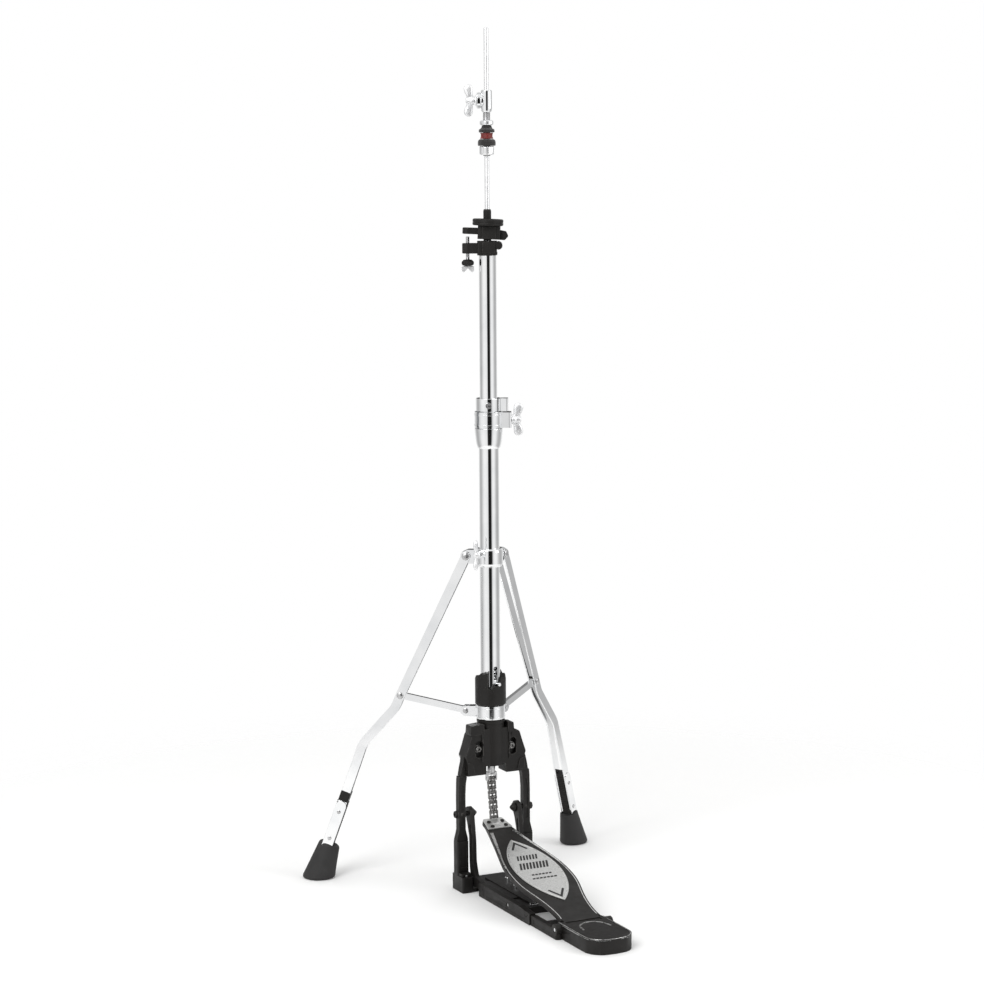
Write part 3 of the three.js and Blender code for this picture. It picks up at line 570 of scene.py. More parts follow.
FELT = finish(
    "felt", ((0.02, 0.018, 0.017), 0.0, 0.95),
    (
        (2200.0, 8.0, 0.8),
        [(0.35, (0.010, 0.009, 0.009)), (0.55, (0.024, 0.022, 0.021)), (0.75, (0.055, 0.051, 0.048))],
    ),
    None, [(None, 0.7, 0.0008), ((300.0, 4.0), 0.3, 0.0010)], Sheen_Weight=0.35, Sheen_Roughness=0.5,
)
RED = finish(
    "red_ring", ((0.17, 0.02, 0.018), 0.0, 0.42),
    (
        (260.0, 6.0),
        [(0.3, (0.10, 0.012, 0.010)), (0.55, (0.19, 0.022, 0.018)), (0.8, (0.25, 0.035, 0.028))],
    ),
    (None, (0.34, 0.55)), [((1600.0, 4.0), 0.12, 0.0003)],
)
NYLON = finish(
    "nylon", ((0.62, 0.60, 0.55), 0.0, 0.5),
    ((120.0, 6.0), [(0.3, (0.52, 0.50, 0.45)), (0.7, (0.68, 0.66, 0.61))]),
    (None, (0.42, 0.6)),
    [((1400.0, 4.0), 0.08, 0.0003)],
    Subsurface_Weight=0.08, Subsurface_Scale=0.001,
)


# ---------- fasteners ----------
def arc_profile(radius, height):
    """A shallow dome from its rim to near its crown."""
    turns = [math.pi / 2 * s / DOME_STEPS for s in range(DOME_STEPS)]
    return [(radius * math.cos(t), height * (0.25 + 0.75 * math.sin(t))) for t in turns]


def rivet(point, direction, radius, height):
    """A domed head standing on a face at point."""
    end = Vector(point) + Vector(direction)
    profile = [(radius, 0)] + arc_profile(radius, height) + [(radius * 0.1, height)]
    return moved(turned(profile, SMALL), aimed(point, end))


def hexagon(radius, z0, z1, edge=0.5):
    return softened(turned([(radius, z0), (radius, z1)], 6), edge)


def socket_head(point, direction, radius, height):
    """A round cap screw with a hexagonal socket."""
    head = rod(radius, 0, height, radius * 0.14)
    socket = turned([(radius * 0.55, height * 0.35), (radius * 0.55, height + 1)], 6)
    end = Vector(point) + Vector(direction)
    return moved(fused(head, cuts=[socket]), aimed(point, end))


def threaded(radius, z0, z1, pitch, depth=0.35, sides=SMALL):
    """A threaded bar, its thread as close rings."""
    count = max(int((z1 - z0) / pitch), 1)
    step = (z1 - z0) / count
    profile = [(radius - depth, z0)]
    for i in range(count):
        profile += [(radius, z0 + step * (i + 0.45)), (radius, z0 + step * (i + 0.6))]
        profile.append((radius - depth, z0 + step * (i + 1)))
    return turned(profile, sides)


def pillow(outline, centre, half):
    """A flat outline in XZ swollen to both sides of Y = 0."""
    middle = Vector(centre)
    rings = []
    for s in range(-7, 8):
        t = math.radians(84) * s / 7
        points = [middle + (Vector(p) - middle) * math.cos(t) ** 0.55 for p in outline]
        rings.append([(p.x, half * math.sin(t), p.y) for p in points])
    return bridged(rings)


# half of a wing bolt's lobe, in shares of the hub's length and of half the span
LOBE = [
    (0.16, 0.06), (0.20, 0.45), (0.22, 0.72), (0.36, 0.93), (0.66, 1), (0.98, 0.95), (1.20, 0.76),
    (1.12, 0.50), (0.92, 0.28), (0.86, 0.06),
]


def wing_bolt(shaft_r, shaft, hub_r, hub, span):
    """Along +X: a threaded shaft, a turned hub and two cast lobes."""
    half = span / 2
    outline = spline([(hub * x, half * z) for x, z in LOBE], 4)
    lobes = []
    for way in (1, -1):
        lobe = [(x, way * z) for x, z in outline]
        lobes.append(pillow(lobe, (hub * 0.68, way * half * 0.62), 2.5))
    toward = Matrix.Rotation(math.pi / 2, 4, "Y")
    profile = [(hub_r * 0.95, 0), (hub_r, 0.8), (hub_r, hub * 0.3), (hub_r * 0.8, hub * 0.5)]
    profile += [(hub_r * 0.74, hub * 0.86), (hub_r * 0.5, hub)]
    neck = moved(lathe(profile, 0.8, closed=False), toward)
    screw = moved(threaded(shaft_r, -shaft, 0.5, 1.0), toward)
    return fused(neck, [*lobes, screw])


# ---------- tubes and hub ----------
def make_tubes():
    foot, top = levels("base_tube")
    stud_z = CAM_LOW - CAM_RISE * CAM_START / math.pi + 0.6 + STUD_R
    half = STUD_R + 0.7
    slot = prism(rounded(rect(-half, half, stud_z - 8, stud_z + 22), half, steps=8), -20, 20, "xz")
    base = fused(ring(BASE_R, BASE_BORE, foot, top, 0.3, TUBE_SIDES), cuts=[moved(slot, STUDS)])
    piece(base, "base_tube_shell", "root", CHROME, ("base_tube",), "chrome")
    foot, top = levels("upper_tube")
    upper = ring(UPPER_R, UPPER_BORE, foot, top, 0.3, TUBE_SIDES)
    piece(upper, "upper_tube_shell", "mast", CHROME, ("upper_tube",), "chrome")


def make_hub():
    low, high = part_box("hub_casting")
    foot, top = low.z / MM, high.z / MM
    front, back = -15.0, high.y / MM - 10.5
    outline = [
        (14, 162, 2), (14, 150, 1.5), (48.5, 150, 0.5), (46.8, 160, 4), (43.4, 174, 6), (38, 190, 6),
        (34, 203, 5), (22, 209, 3),
    ]
    arch = slab(mirrored(outline), 2, front, back, "xz")
    joins = [rod(17.5, 160, top, 1.0, ROUND), ring(18.2, 13.5, top - 4.5, top - 0.4, 0.8)]
    cuts = [rod(BASE_FIT, foot + 20.65, top + 1, 0.1, ROUND), rod(7.5, foot - 10, foot + 22, 0.1, ROUND)]
    for side, reach in ((-1, 37), (1, 26)):
        shoulder = [(17, 203), (reach, 203), (reach - 1, 215.5), (17, 217)]
        rib = [(30, 152), (47.5, 152), (43.5, 169), (34, 166)]
        for line, depth, end in ((shoulder, 1.2, -1), (rib, 1.4, back + 0.6)):
            joins.append(slab([(side * x, z) for x, z in line], 1.5, front - depth, end, "xz"))
        joins.append(block(side * 19.5 - 1.2, side * 19.5 + 1.2, front - 1.4, -2, 168, 206))
        x = side * HUB_SCREW_X
        pocket = rounded(rect(x - 5.4, x + 5.4, HUB_SCREW_Z - 11, HUB_SCREW_Z + 11), 5.2, steps=6)
        cuts.append(prism(pocket, front - 6, front + 5.5, "xz"))
        notch = [(40.2, 140), (60, 140), (60, 181, 1), (45, 181, 4), (41, 170, 8)]
        notch = [(side * x, *rest) for x, *rest in notch]
        cuts += [slab(notch, 1, y0, y1, "xz") for y0, y1 in ((front - 6, -10.2), (-0.8, back + 6))]
    hub = fused(arch, joins, cuts)
    piece(hub, "hub_casting_shell", "root", CASTING, ("hub_casting",), "black_casting", bevel=0.9)
    piece(ring(11.15, ROD_FIT, 171.4, 182, 0.5), "rod_bush_sleeve", "root", NYLON, ("rod_bush",), "nylon")
    for side, name in SIDES:
        x = side * HUB_SCREW_X
        screw = fused(
            hexagon(4.4, 0.9, 4.6, 0.6), [ring(5.0, 2.0, 0.05, 1.1, 0.3, 48)],
            [turned([(2.0, 2.6), (2.0, 6)], 6)],
        )
        screw = moved(screw, aimed((x, front + 5.5, HUB_SCREW_Z), (x, front - 5, HUB_SCREW_Z)))
        # the screws are chrome but take the darker oiled-steel look: painted shade for the recesses they sit
        # in
        piece(screw, f"{name}_hub_screw", "root", OILED, (f"{name}_hub_bolt",), "chrome")


def make_column(side, name):
    front, back = -10.0, -1.0
    outline = [
        (39.0, 58), (54.5, 58), (54.5, 66, 2), (51.2, 79, 3), (51.2, 124, 8), (50.8, 142, 8),
        (50.2, 149.6, 1), (39.2, 149.6, 1), (40.9, 140, 6), (41.7, 126, 8), (41.7, 79, 3), (38.6, 67, 2),
    ]
    joins = [
        slab(rect(38.5, 54.5, -12.2, 1.4), 2.5, 16, 64), slab(rect(38.5, 54.5, -27, 6), 3.0, 0, 20),
        slab(rect(39.6, 53.4, -22, 4), 2.5, 19, 24), slab(rect(32.2, 42, -26, 5), 1.5, 0, 5),
    ]
    groove = [(44.4, 84), (48.4, 84), (48.4, 124), (46.6, 138), (43.4, 138), (44.4, 124)]
    cuts = [
        slab(groove, 1.6, y0, y1, "xz") for y0, y1 in ((front - 1, front + 0.9), (back - 0.9, back + 1))
    ]
    cuts += [slab(rect(42, 51, 30, 56), 1.6, -14, -11.6, "xz"), cross_bar(30, 60, PIVOT, 3.4)]
    column = fused(slab(outline, 1, front, back, "xz"), joins, cuts)
    if side < 0:
        moved(column, Matrix.Scale(-1, 4, (1, 0, 0)))
    piece(column, f"{name}_column_shell", "root", CASTING, (f"{name}_column",), "black_casting", bevel=1.0)
    piece(socket_head((side * 46.5, -19.5, 20), (0, 0, 1), 3.0, 2.6), f"{name}_toe_screw", "root", SATIN)


# ---------- height clamp and memory lock ----------
def make_clamp():
    foot, top = levels("clamp_sleeve")
    flare = [(14.0, foot + 0.6), (14.9, foot + 2.6), (15.8, foot + 6), (16.8, foot + 13), (17.9, top - 1.2)]
    line = [(BASE_FIT, foot), (13.6, foot), *spline(flare, 4), (17.6, top), (BASE_FIT, top)]
    sleeve = turned(line, ROUND, closed=True)
    piece(sleeve, "clamp_sleeve_flare", "root", CHROME, ("clamp_sleeve",), "chrome", FACED)

    z0, z1 = levels("clamp_body")
    ear = [(4, -6.6), (26.5, -9.3, 1.5), (29, -7.6, 1.5), (29, 7.6, 1.5), (26.5, 9.3, 1.5), (4, 6.6)]
    joins = [
        slab(ear, 1.0, z0 + 0.8, z1 - 0.8),
        ring(18.5, 14, z0 + 3.0, z0 + 5.0, 0.5), ring(18.5, 14, z1 - 5.0, z1 - 3.0, 0.5),
    ]
    split = moved(block(-24, -12, -1.7, 1.7, z0 - 1, z1 + 1), Matrix.Rotation(math.radians(41), 4, "Z"))
    cuts = [
        rod(BASE_FIT, z0 - 5, CLAMP_STEP_Z + 0.35, 0.05, ROUND),
        rod(UPPER_FIT, CLAMP_STEP_Z, z1 + 5, 0.05, ROUND), split,
        block(13.2, 32, -0.7, 0.7, z0 - 1, z1 + 1), cross_bar(15, 35, (0, CLAMP_SCREW_Z), 3.4),
    ]
    body = fused(rod(17.9, z0, z1, 0.9, ROUND), joins, cuts)
    piece(body, "height_clamp", "root", CHROME, ("clamp_body",), "chrome", FACED, bevel=0.8)
    wing = moved(wing_bolt(3.0, 13, 6.2, 12, 42), Matrix.Translation((29.5, 0, CLAMP_SCREW_Z)))
    piece(
        wing, "height_wing_bolt", "clamp_wing", CAST_CHROME, ("clamp_wing_bolt",), "chrome", FACED, bevel=0.25,
    )

    z0, z1 = levels("memory_lock")
    lug = [(8, -4.2), (23, -6.3, 1.2), (25, -4.8, 1.2), (25, 4.8, 1.2), (23, 6.3, 1.2), (8, 4.2)]
    cuts = [
        rod(UPPER_FIT, z0 - 5, z1 + 5, 0.05, ROUND), block(11.3, 12.3, -22, -2, z0 - 1, z1 + 1),
        pin((0, LOCK_SCREW_Z), -20, -10, 2.3),
    ]
    lock = fused(rod(16.2, z0, z1, 0.8, ROUND), [slab(lug, 1.0, z0, z1)], cuts)
    piece(lock, "memory_lock_ring", "memory_lock", CHROME, ("memory_lock",), "chrome", FACED, bevel=0.7)
    key = softened(prism(rect(-1.7, 1.7, -1.7, 1.7), 0.8, 2.5), 0.3)
    screw = fused(rod(3.9, 0, 1.2, 0.4), [key, threaded(2.0, -4.5, 0.4, 0.7, 0.25)])
    screw = moved(screw, aimed((0, -16.4, LOCK_SCREW_Z), (0, -20, LOCK_SCREW_Z)))
    piece(screw, "memory_lock_key_screw", "memory_lock", SATIN, ("memory_lock_screw",), "chrome", FACED)


# ---------- cymbal seat ----------
def make_seat():
    body = prism(rounded(rect(-13, 12, -12, 12), 3, steps=5), SEAT_FOOT, SEAT_TOP)
    joins = [
        rod(12.6, SEAT_FOOT + 0.1, SEAT_FOOT + 4, 0.8, ROUND),
        slab(rect(-6.5, 9.5, SEAT_FOOT + 2.4, SEAT_TOP - 1.4), 1.2, -13.0, -11, "xz"),
        slab([(-25, -6.2), (-12, -7), (-12, 7), (-25, 6.2)], 0.5, 819, 832),
        moved(rod(7.0, 819, 832, 1.2, 48), TILT_SCREW),
        rod(9.5, 798, 820, 0.6, ROUND),
        pin((14, 829), -12.2, 12.2, 5, 0.8),
    ]
    base = fused(body, joins, [rod(4.2, 780, 880, 0.1), moved(rod(2.8, 810, 845, 0.1), TILT_SCREW)])
    piece(base, "seat_base_shell", "mast", MOULDED, ("seat_base",), "black_casting", FACED, bevel=0.8)

    disc_line = [(3, 15.4), (18.6, 15.4), (19.5, 16.5), (19.5, 22.5), (18.4, 23.6), (3, 23.6)]
    lever_line = [(-3, -1.6), (8, -2.2, 2), (12.6, 3, 3), (9.5, 9.0, 2), (2, 10.2, 2), (-3, 9.5)]
    joins = [
        slab(rect(-26.5, 2, -11.4, 11.4), 2.5, -1.6, 16.4),
        slab(rect(-21, -3.5, -0.6, 14.4), 1.0, -12.4, -10, "xz"),
        softened(slab(lever_line, 1.0, -5.4, 5.4, "xz"), 1.2),
        prism([(-39, -5.8), (-24, -6.5), (-24, 6.5), (-39, 5.8)], 4.0, 12.0),
        moved(rod(6.8, 4.0, 12.0, 1.2, 48), Matrix.Translation((-39, 0, 0))),
    ]
    cuts = [moved(ring(21, 18.9, 18.8, 19.7, 0.1), CUP_AXIS), moved(rod(9, -10, 50, 0.1, ROUND), CUP_AXIS)]
    cup = fused(moved(lathe(disc_line, 0.6, closed=False), CUP_AXIS), joins, cuts)
    piece(cup, "seat_cup_shell", "seat", MOULDED, ("seat_cup",), "black_casting", CUP, bevel=0.6)
    line = line_at("seat_post", 3.5, [(5, 0)], [(5, 2.0), (4.2, 0)])
    piece(lathe(line, 0.3, 48), "seat_post_sleeve", "mast", MOULDED, ("seat_post",), "black_steel", FACED)

    knob_line = [
        (1, 803.4), (4.4, 803.4), (7.2, 804.6), (8.0, 806.6), (7.6, 808.8), (5.2, 811.2), (1, 811.5),
    ]
    knob = fused(lathe(knob_line, 1.2, 72, False), [], flutes(10, 8.9, 1.5, 800, 815))
    knob = moved(knob, TILT_SCREW)
    piece(
        knob, "seat_tilt_knob", "seat_screw", MOULDED, ("seat_tilt_screw",), "black_steel", FACED, bevel=0.25,
    )
    piece(
        moved(threaded(2.35, 811.3, 840.2, 1.0, 0.25), TILT_SCREW), "seat_tilt_shank", "seat_screw", SATIN,
        at=FACED,
    )
    right = [(0, 800.6), (2.6, 797.5), (5.2, 795.1), (7.8, 797), (8, 803.2)]
    blade = [(-x, z) for x, z in right[:0:-1]] + right
    wings = moved(slab(blade, 1.4, -1.5, 1.5, "xz"), TILT_SCREW)
    piece(wings, "seat_tilt_wings", "seat_screw", CAST_CHROME, at=FACED, bevel=0.7)


# ---------- clutch ----------
def make_clutch():
    body_line = [
        (SLEEVE_BORE, 995.6), (5.6, 995.6), (6.6, 997), (7.0, 999.5), (7.0, 1021.8), (6.2, 1023),
        (SLEEVE_BORE, 1023),
    ]
    toward = Matrix.Translation((0, 0, CLUTCH_SCREW_Z)) @ Matrix.Rotation(-math.pi / 2, 4, "Y")
    boss_line = [
        (1.0, 3.6), (7.4, 3.6), (7.2, 6.5), (9.6, 7.6), (9.6, 11.4), (8.4, 12.6), (6.8, 13.2), (6.4, 14.5),
        (1.0, 14.5),
    ]
    boss = moved(lathe(boss_line, 0.5, closed=False), toward)
    cuts = [rod(SLEEVE_BORE, 980, 1040, 0.05), cross_bar(-20, -4, (0, CLUTCH_SCREW_Z), 2.9)]
    sleeve = fused(lathe(body_line, 0.6), [boss], cuts)
    piece(sleeve, "clutch_sleeve", "clutch", CHROME, ("clutch_body",), "chrome", FACED, bevel=0.3)
    flip = Matrix.Translation((-15, 0, CLUTCH_SCREW_Z)) @ Matrix.Rotation(math.pi, 4, "Z")
    wing = moved(wing_bolt(2.5, 10.5, 5.5, 11, 40), flip)
    piece(
        wing, "clutch_wing_bolt_cast", "clutch_wing", CAST_CHROME, ("clutch_wing_bolt",), "chrome", FACED,
        bevel=0.25,
    )
    tube = fused(threaded(4.6, 941, 995.2, 0.9, 0.3, 48), cuts=[rod(SLEEVE_BORE, 930, 1000, 0.05)])
    piece(tube, "clutch_threaded_tube", "clutch", SATIN, ("clutch_tube",), "chrome", FACED)

    def nut(node, lower, upper, sides, *cuts):
        z0, z1 = levels(node)
        solid = fused(
            lathe(line_at(node, NUT_BORE, lower, upper), 0.5, sides), [], flutes(*cuts, z0 - 1, z1 + 1),
        )
        piece(solid, node + "_fluted", "clutch", CHROME, (node,), "chrome", FACED, bevel=0.2)

    def soft(node, name, look, slot, radius, lower, upper):
        piece(
            lathe(line_at(node, NUT_BORE, lower, upper), radius, 72), name, "clutch", look, (node,), slot,
            FACED,
        )

    nut("clutch_top_nut", [(8.2, 0), (8.9, 1.1)], [(8.9, 1.6), (7.2, 0)], 72, 12, 10.0, 1.5)
    lower = [(9.4, 0), (10, 1.2), (9.8, 3.6), (7.0, 5.4), (6.2, 7.4)]
    soft("clutch_upper_felt", "clutch_upper_felt_pad", FELT, "felt", 0.8, lower, [(6.0, 0)])
    lower, upper = [(8.2, 0), (8.2, 1.2), (7.4, 2.0)], [(7.4, 2.0), (8.0, 1.2), (8.0, 0)]
    soft("clutch_ring", "clutch_red_ring", RED, "red_ring", 0.4, lower, upper)
    lower, upper = [(10.6, 0), (11.3, 1.0), (11.2, 5.2)], [(10.2, 1.0), (8.4, 0)]
    soft("clutch_lower_cup", "clutch_lower_felt_pad", FELT, "felt", 0.8, lower, upper)
    nut("clutch_bottom_nut", [(8.4, 0), (9.4, 1.4)], [(9.4, 1.2), (8.6, 0)], 96, 16, 10.3, 1.3)


# ---------- pull rod, spring and tension cam ----------
def make_rods():
    def put(solid, name, look, node, slot="spring_steel", bevel=0.0):
        piece(solid, name, "pull_rod", look, (node,), slot, bevel=bevel)

    foot, top = levels("lower_pull_rod")
    put(rod(3.5, foot, top, 0.4), "lower_rod", SATIN, "lower_pull_rod")
    line = line_at("upper_pull_rod", 0.6, [(3.0, 0)], [(3.0, 1.2), (1.8, 0)])
    put(lathe(line, 0.8, 48, False), "upper_rod", CAST_CHROME, "upper_pull_rod", "chrome")
    foot, top = levels("rod_coupler")
    coupler = fused(ring(6.5, ROD_FIT, foot, top, 0.8, 72), cuts=[block(-8, 8, 5.2, 8, foot + 9, top - 9)])
    put(coupler, "rod_coupler_sleeve", SATIN, "rod_coupler", bevel=0.2)
    line = line_at("spring_stop", ROD_FIT, [(10.4, 0), (10.4, 2.4), (7.4, 3.2)], [(7.4, 0)])
    put(lathe(line, 0.4, 72), "spring_stop_washer", SATIN, "spring_stop")


def make_yoke():
    foot, top = levels("tension_yoke")
    middle = (foot + top) / 2
    studs = [pin((0, middle), side * 8, side * 22.5, STUD_R, 0.5) for side in (-1, 1)]
    yoke = fused(ring(11.0, ROD_FIT, foot, top, 0.7), studs)
    piece(yoke, "tension_yoke_studs", "yoke", CHROME, ("tension_yoke",), "spring_steel", STUDS, bevel=0.3)
    low, high = levels("pedal_spring")
    turns, wire, radius = 8, 1.1, 8
    count = turns * 36
    points = []
    for i in range(count + 1):
        t = i / count
        angle = math.tau * turns * t
        rise = (high - low - 2 * wire) * t
        points.append((radius * math.cos(angle), radius * math.sin(angle), low + wire + rise))
    coil = piece(
        swept(points, wire, 14), "pedal_spring_coil", "yoke", SATIN, ("pedal_spring",), "spring_steel",
    )
    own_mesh(coil)


def cam_height(share):
    """Top of the ramp at a share of half a turn: a steady rise with a hump between each pair of rests."""
    hump = 0.0
    for a, b in zip(CAM_VALLEYS, CAM_VALLEYS[1:]):
        if a <= share < b:
            hump = 2.8 * math.sin(math.pi * (share - a) / (b - a)) ** 2
    return min(CAM_LOW + CAM_RISE * share + hump, CAM_LOW + CAM_RISE)


def make_cam():
    foot, _ = levels("tension_cam")
    outer, bore, steps = 20.0, BASE_FIT, 90
    start = -math.pi / 2 + STUD_TURN + CAM_START
    rings = []
    for half in range(2):
        for i in range(steps + 1):
            share = i / steps
            angle = start + math.pi * (half + share * 0.997)
            top = cam_height(share)
            section = [
                (bore, foot + 0.5), (bore + 0.5, foot), (outer - 1.0, foot), (outer, foot + 1.0),
                (outer, top - 0.9), (outer - 0.3, top - 0.25), (outer - 0.9, top), (bore + 0.7, top),
                (bore, top - 0.6),
            ]
            rings.append([(r * math.cos(angle), r * math.sin(angle), z) for r, z in section])
    piece(bridged(rings, closed=True), "tension_cam_ramp", "cam", CASTING, ("tension_cam",), "black_casting")


# ---------- chain ----------
def make_adapter():
    low, high = levels("chain_adapter")
    foot = CHAIN_TOP + 5
    line = [(1.0, foot), (4.2, foot), (5.2, CHAIN_TOP + 7.5), (5.2, high - 1.6), (4.3, high), (1.0, high)]
    stem = lathe(line, 0.6, 64, False)
    bridge = slab(rect(-6.8, 6.8, -3.8, 3.8), 1.2, CHAIN_TOP + 4.6, CHAIN_TOP + 8.2)
    cheeks = []
    for side in (-1, 1):
        line = rect(-3.8, 3.8, low, CHAIN_TOP + 7)
        cheeks.append(slab(line, 3.2, side * 6.2 - 0.6, side * 6.2 + 0.6, "yz"))
    piece(
        fused(stem, [bridge, *cheeks]), "chain_clevis", "pull_rod", SATIN, ("chain_adapter",), "chrome",
        bevel=0.35,
    )
    heads = [rivet((side * 6.7, 0, CHAIN_TOP), (side, 0, 0), 2.0, 0.7) for side in (-1, 1)]
    piece(together(*heads), "chain_clevis_pin", "pull_rod", SATIN)


def link_plate(x, middle, half):
    """A figure-of-eight link plate."""
    r = 2.55
    waist = 1.75
    line = []
    for s in range(9):
        t = math.pi * s / 8
        line.append((r * math.cos(t), middle + half + r * math.sin(t)))
    line.append((-waist, middle))
    for s in range(9):
        t = math.pi + math.pi * s / 8
        line.append((r * math.cos(t), middle - half + r * math.sin(t)))
    line.append((waist, middle))
    return prism(line, x - 0.45, x + 0.45, "yz")


def make_chain():
    plates, rollers = [], []
    half = CHAIN_PITCH / 2
    for i in range(CHAIN_LINKS):
        middle = -(i + 0.5) * CHAIN_PITCH
        offsets = (-4.95, 0.0, 4.95) if i % 2 else (-3.9, -1.05, 1.05, 3.9)
        plates += [link_plate(x, middle, half) for x in offsets]
    for i in range(CHAIN_LINKS + 1):
        z = -i * CHAIN_PITCH
        rollers.append(cross_bar(-5.6, 5.6, (0, z), 1.05, 0.25, 20))
        for x in (-2.5, 2.5):
            rollers.append(cross_bar(x - 0.95, x + 0.95, (0, z), 1.95, 0.25, 28))
    piece(
        together(*plates), "chain_link_plates", "chain", OILED, ("chain",), "spring_steel", CHAIN, bevel=0.12,
        segments=2,
    )
    piece(together(*rollers), "chain_rollers", "chain", OILED, at=CHAIN)


# ---------- legs ----------
def make_ring():
    foot, top = levels("brace_ring")
    joins, heads = [], []
    for side in (-1, 1):
        place = leg_frame(side)
        for out in (-1, 1):
            y = out * 4.3
            line = [
                (14, foot + 2), (BRACE_R + 2, foot + 2.4), (BRACE_R + 7, BRACE_Z - 3, 4),
                (BRACE_R + 7, BRACE_Z + 3, 4), (BRACE_R + 2, top - 2.4), (14, top - 2),
            ]
            joins.append(moved(slab(line, 3.0, y - 1.35, y + 1.35, "xz"), place))
            at = place @ Vector((BRACE_R, y + out * 1.35, BRACE_Z))
            heads.append(rivet(at, place.to_3x3() @ Vector((0, out, 0)), 3.6, 1.3))
        heads.append(moved(pin(BRACE_PIN, -5.6, 5.6, 2.2), place))
    seam = moved(
        block(-0.5, 0.5, -22, -17.9, foot - 1, top + 1), Matrix.Rotation(math.radians(-20), 4, "Z"),
    )
    cuts = [
        seam, ring(20, 18.35, foot + 3.0, foot + 3.7, 0.1), ring(20, 18.35, top - 3.7, top - 3.0, 0.1),
        rod(BASE_FIT, foot - 2, top + 2, 0.05, ROUND),
    ]
    band = fused(ring(18.7, BASE_FIT, foot, top, 1.0), joins, cuts)
    piece(band, "brace_ring_band", "leg_ring", CHROME, ("brace_ring",), "chrome", bevel=0.5)
    piece(together(*heads), "brace_ring_rivets", "leg_ring", SATIN)


def make_collar():
    foot, top = COLLAR_FOOT, COLLAR_TOP
    line = [
        (BASE_FIT, foot), (15.2, foot), (16.6, foot + 2.0), (17.3, foot + 4.5), (17.3, top - 4.0),
        (16.8, top - 1.6), (15.8, top), (BASE_FIT, top),
    ]
    joins, heads = [], []
    for side in (-1, 1):
        place = leg_frame(side)
        eye = [
            (12.5, LEG_Z - 9.5), (LEG_R - 2, LEG_Z - 9.5, 6), (LEG_R + 7.2, LEG_Z - 3, 5),
            (LEG_R + 7.2, LEG_Z + 4, 5), (LEG_R - 2, LEG_Z + 8.5, 6), (12.5, LEG_Z + 8.5),
        ]
        joins.append(moved(slab(eye, 3.0, -STRAP_IN, STRAP_IN, "xz"), place))
        joins.append(moved(pin(LEG_PIN, -9.2, 9.2, 3.0), place))
        for out in (-1, 1):
            at = place @ Vector((LEG_R, out * 7.75, LEG_Z))
            heads.append(rivet(at, place.to_3x3() @ Vector((0, out, 0)), 5.0, 2.2))
    turn = Matrix.Rotation(SCREW_TURN, 4, "Z")
    joins.append(moved(cross_bar(13, SCREW_R - GAP, (0, SCREW_Z), 5.0, 0.8), turn))
    cuts = [
        rod(BASE_FIT, foot - 5, top + 5, 0.05, ROUND), moved(cross_bar(14, 31, (0, SCREW_Z), 2.4), turn),
    ]
    collar = fused(lathe(line, 1.2), joins, cuts)
    piece(collar, "leg_collar_casting", "collar", CHROME, ("leg_collar",), "chrome", bevel=0.6)
    piece(together(*heads), "leg_collar_rivets", "collar", SATIN)
    wing = moved(wing_bolt(2.0, 10, 4.5, 7, 39), turn @ Matrix.Translation((SCREW_R, 0, SCREW_Z)))
    piece(wing, "collar_wing_bolt", "collar_screw", CAST_CHROME, ("collar_wing_screw",), "chrome", bevel=0.25)


def serrated(path, width, teeth_pitch, depth):
    """A strip's outline with saw teeth along both sides."""
    start, end = Vector(path[0]), Vector(path[1])
    along = (end - start).normalized()
    square = Vector((-along.y, along.x))
    count = int((end - start).length / teeth_pitch)
    sides = []
    for side in (1, -1):
        row = []
        for i in range(count * 2 + 1):
            reach = width / 2 - (0 if i % 2 else depth)
            row.append(tuple(start + along * (i * teeth_pitch / 2) + square * side * reach))
        sides.append(row if side > 0 else row[::-1])
    return sides[0] + sides[1]


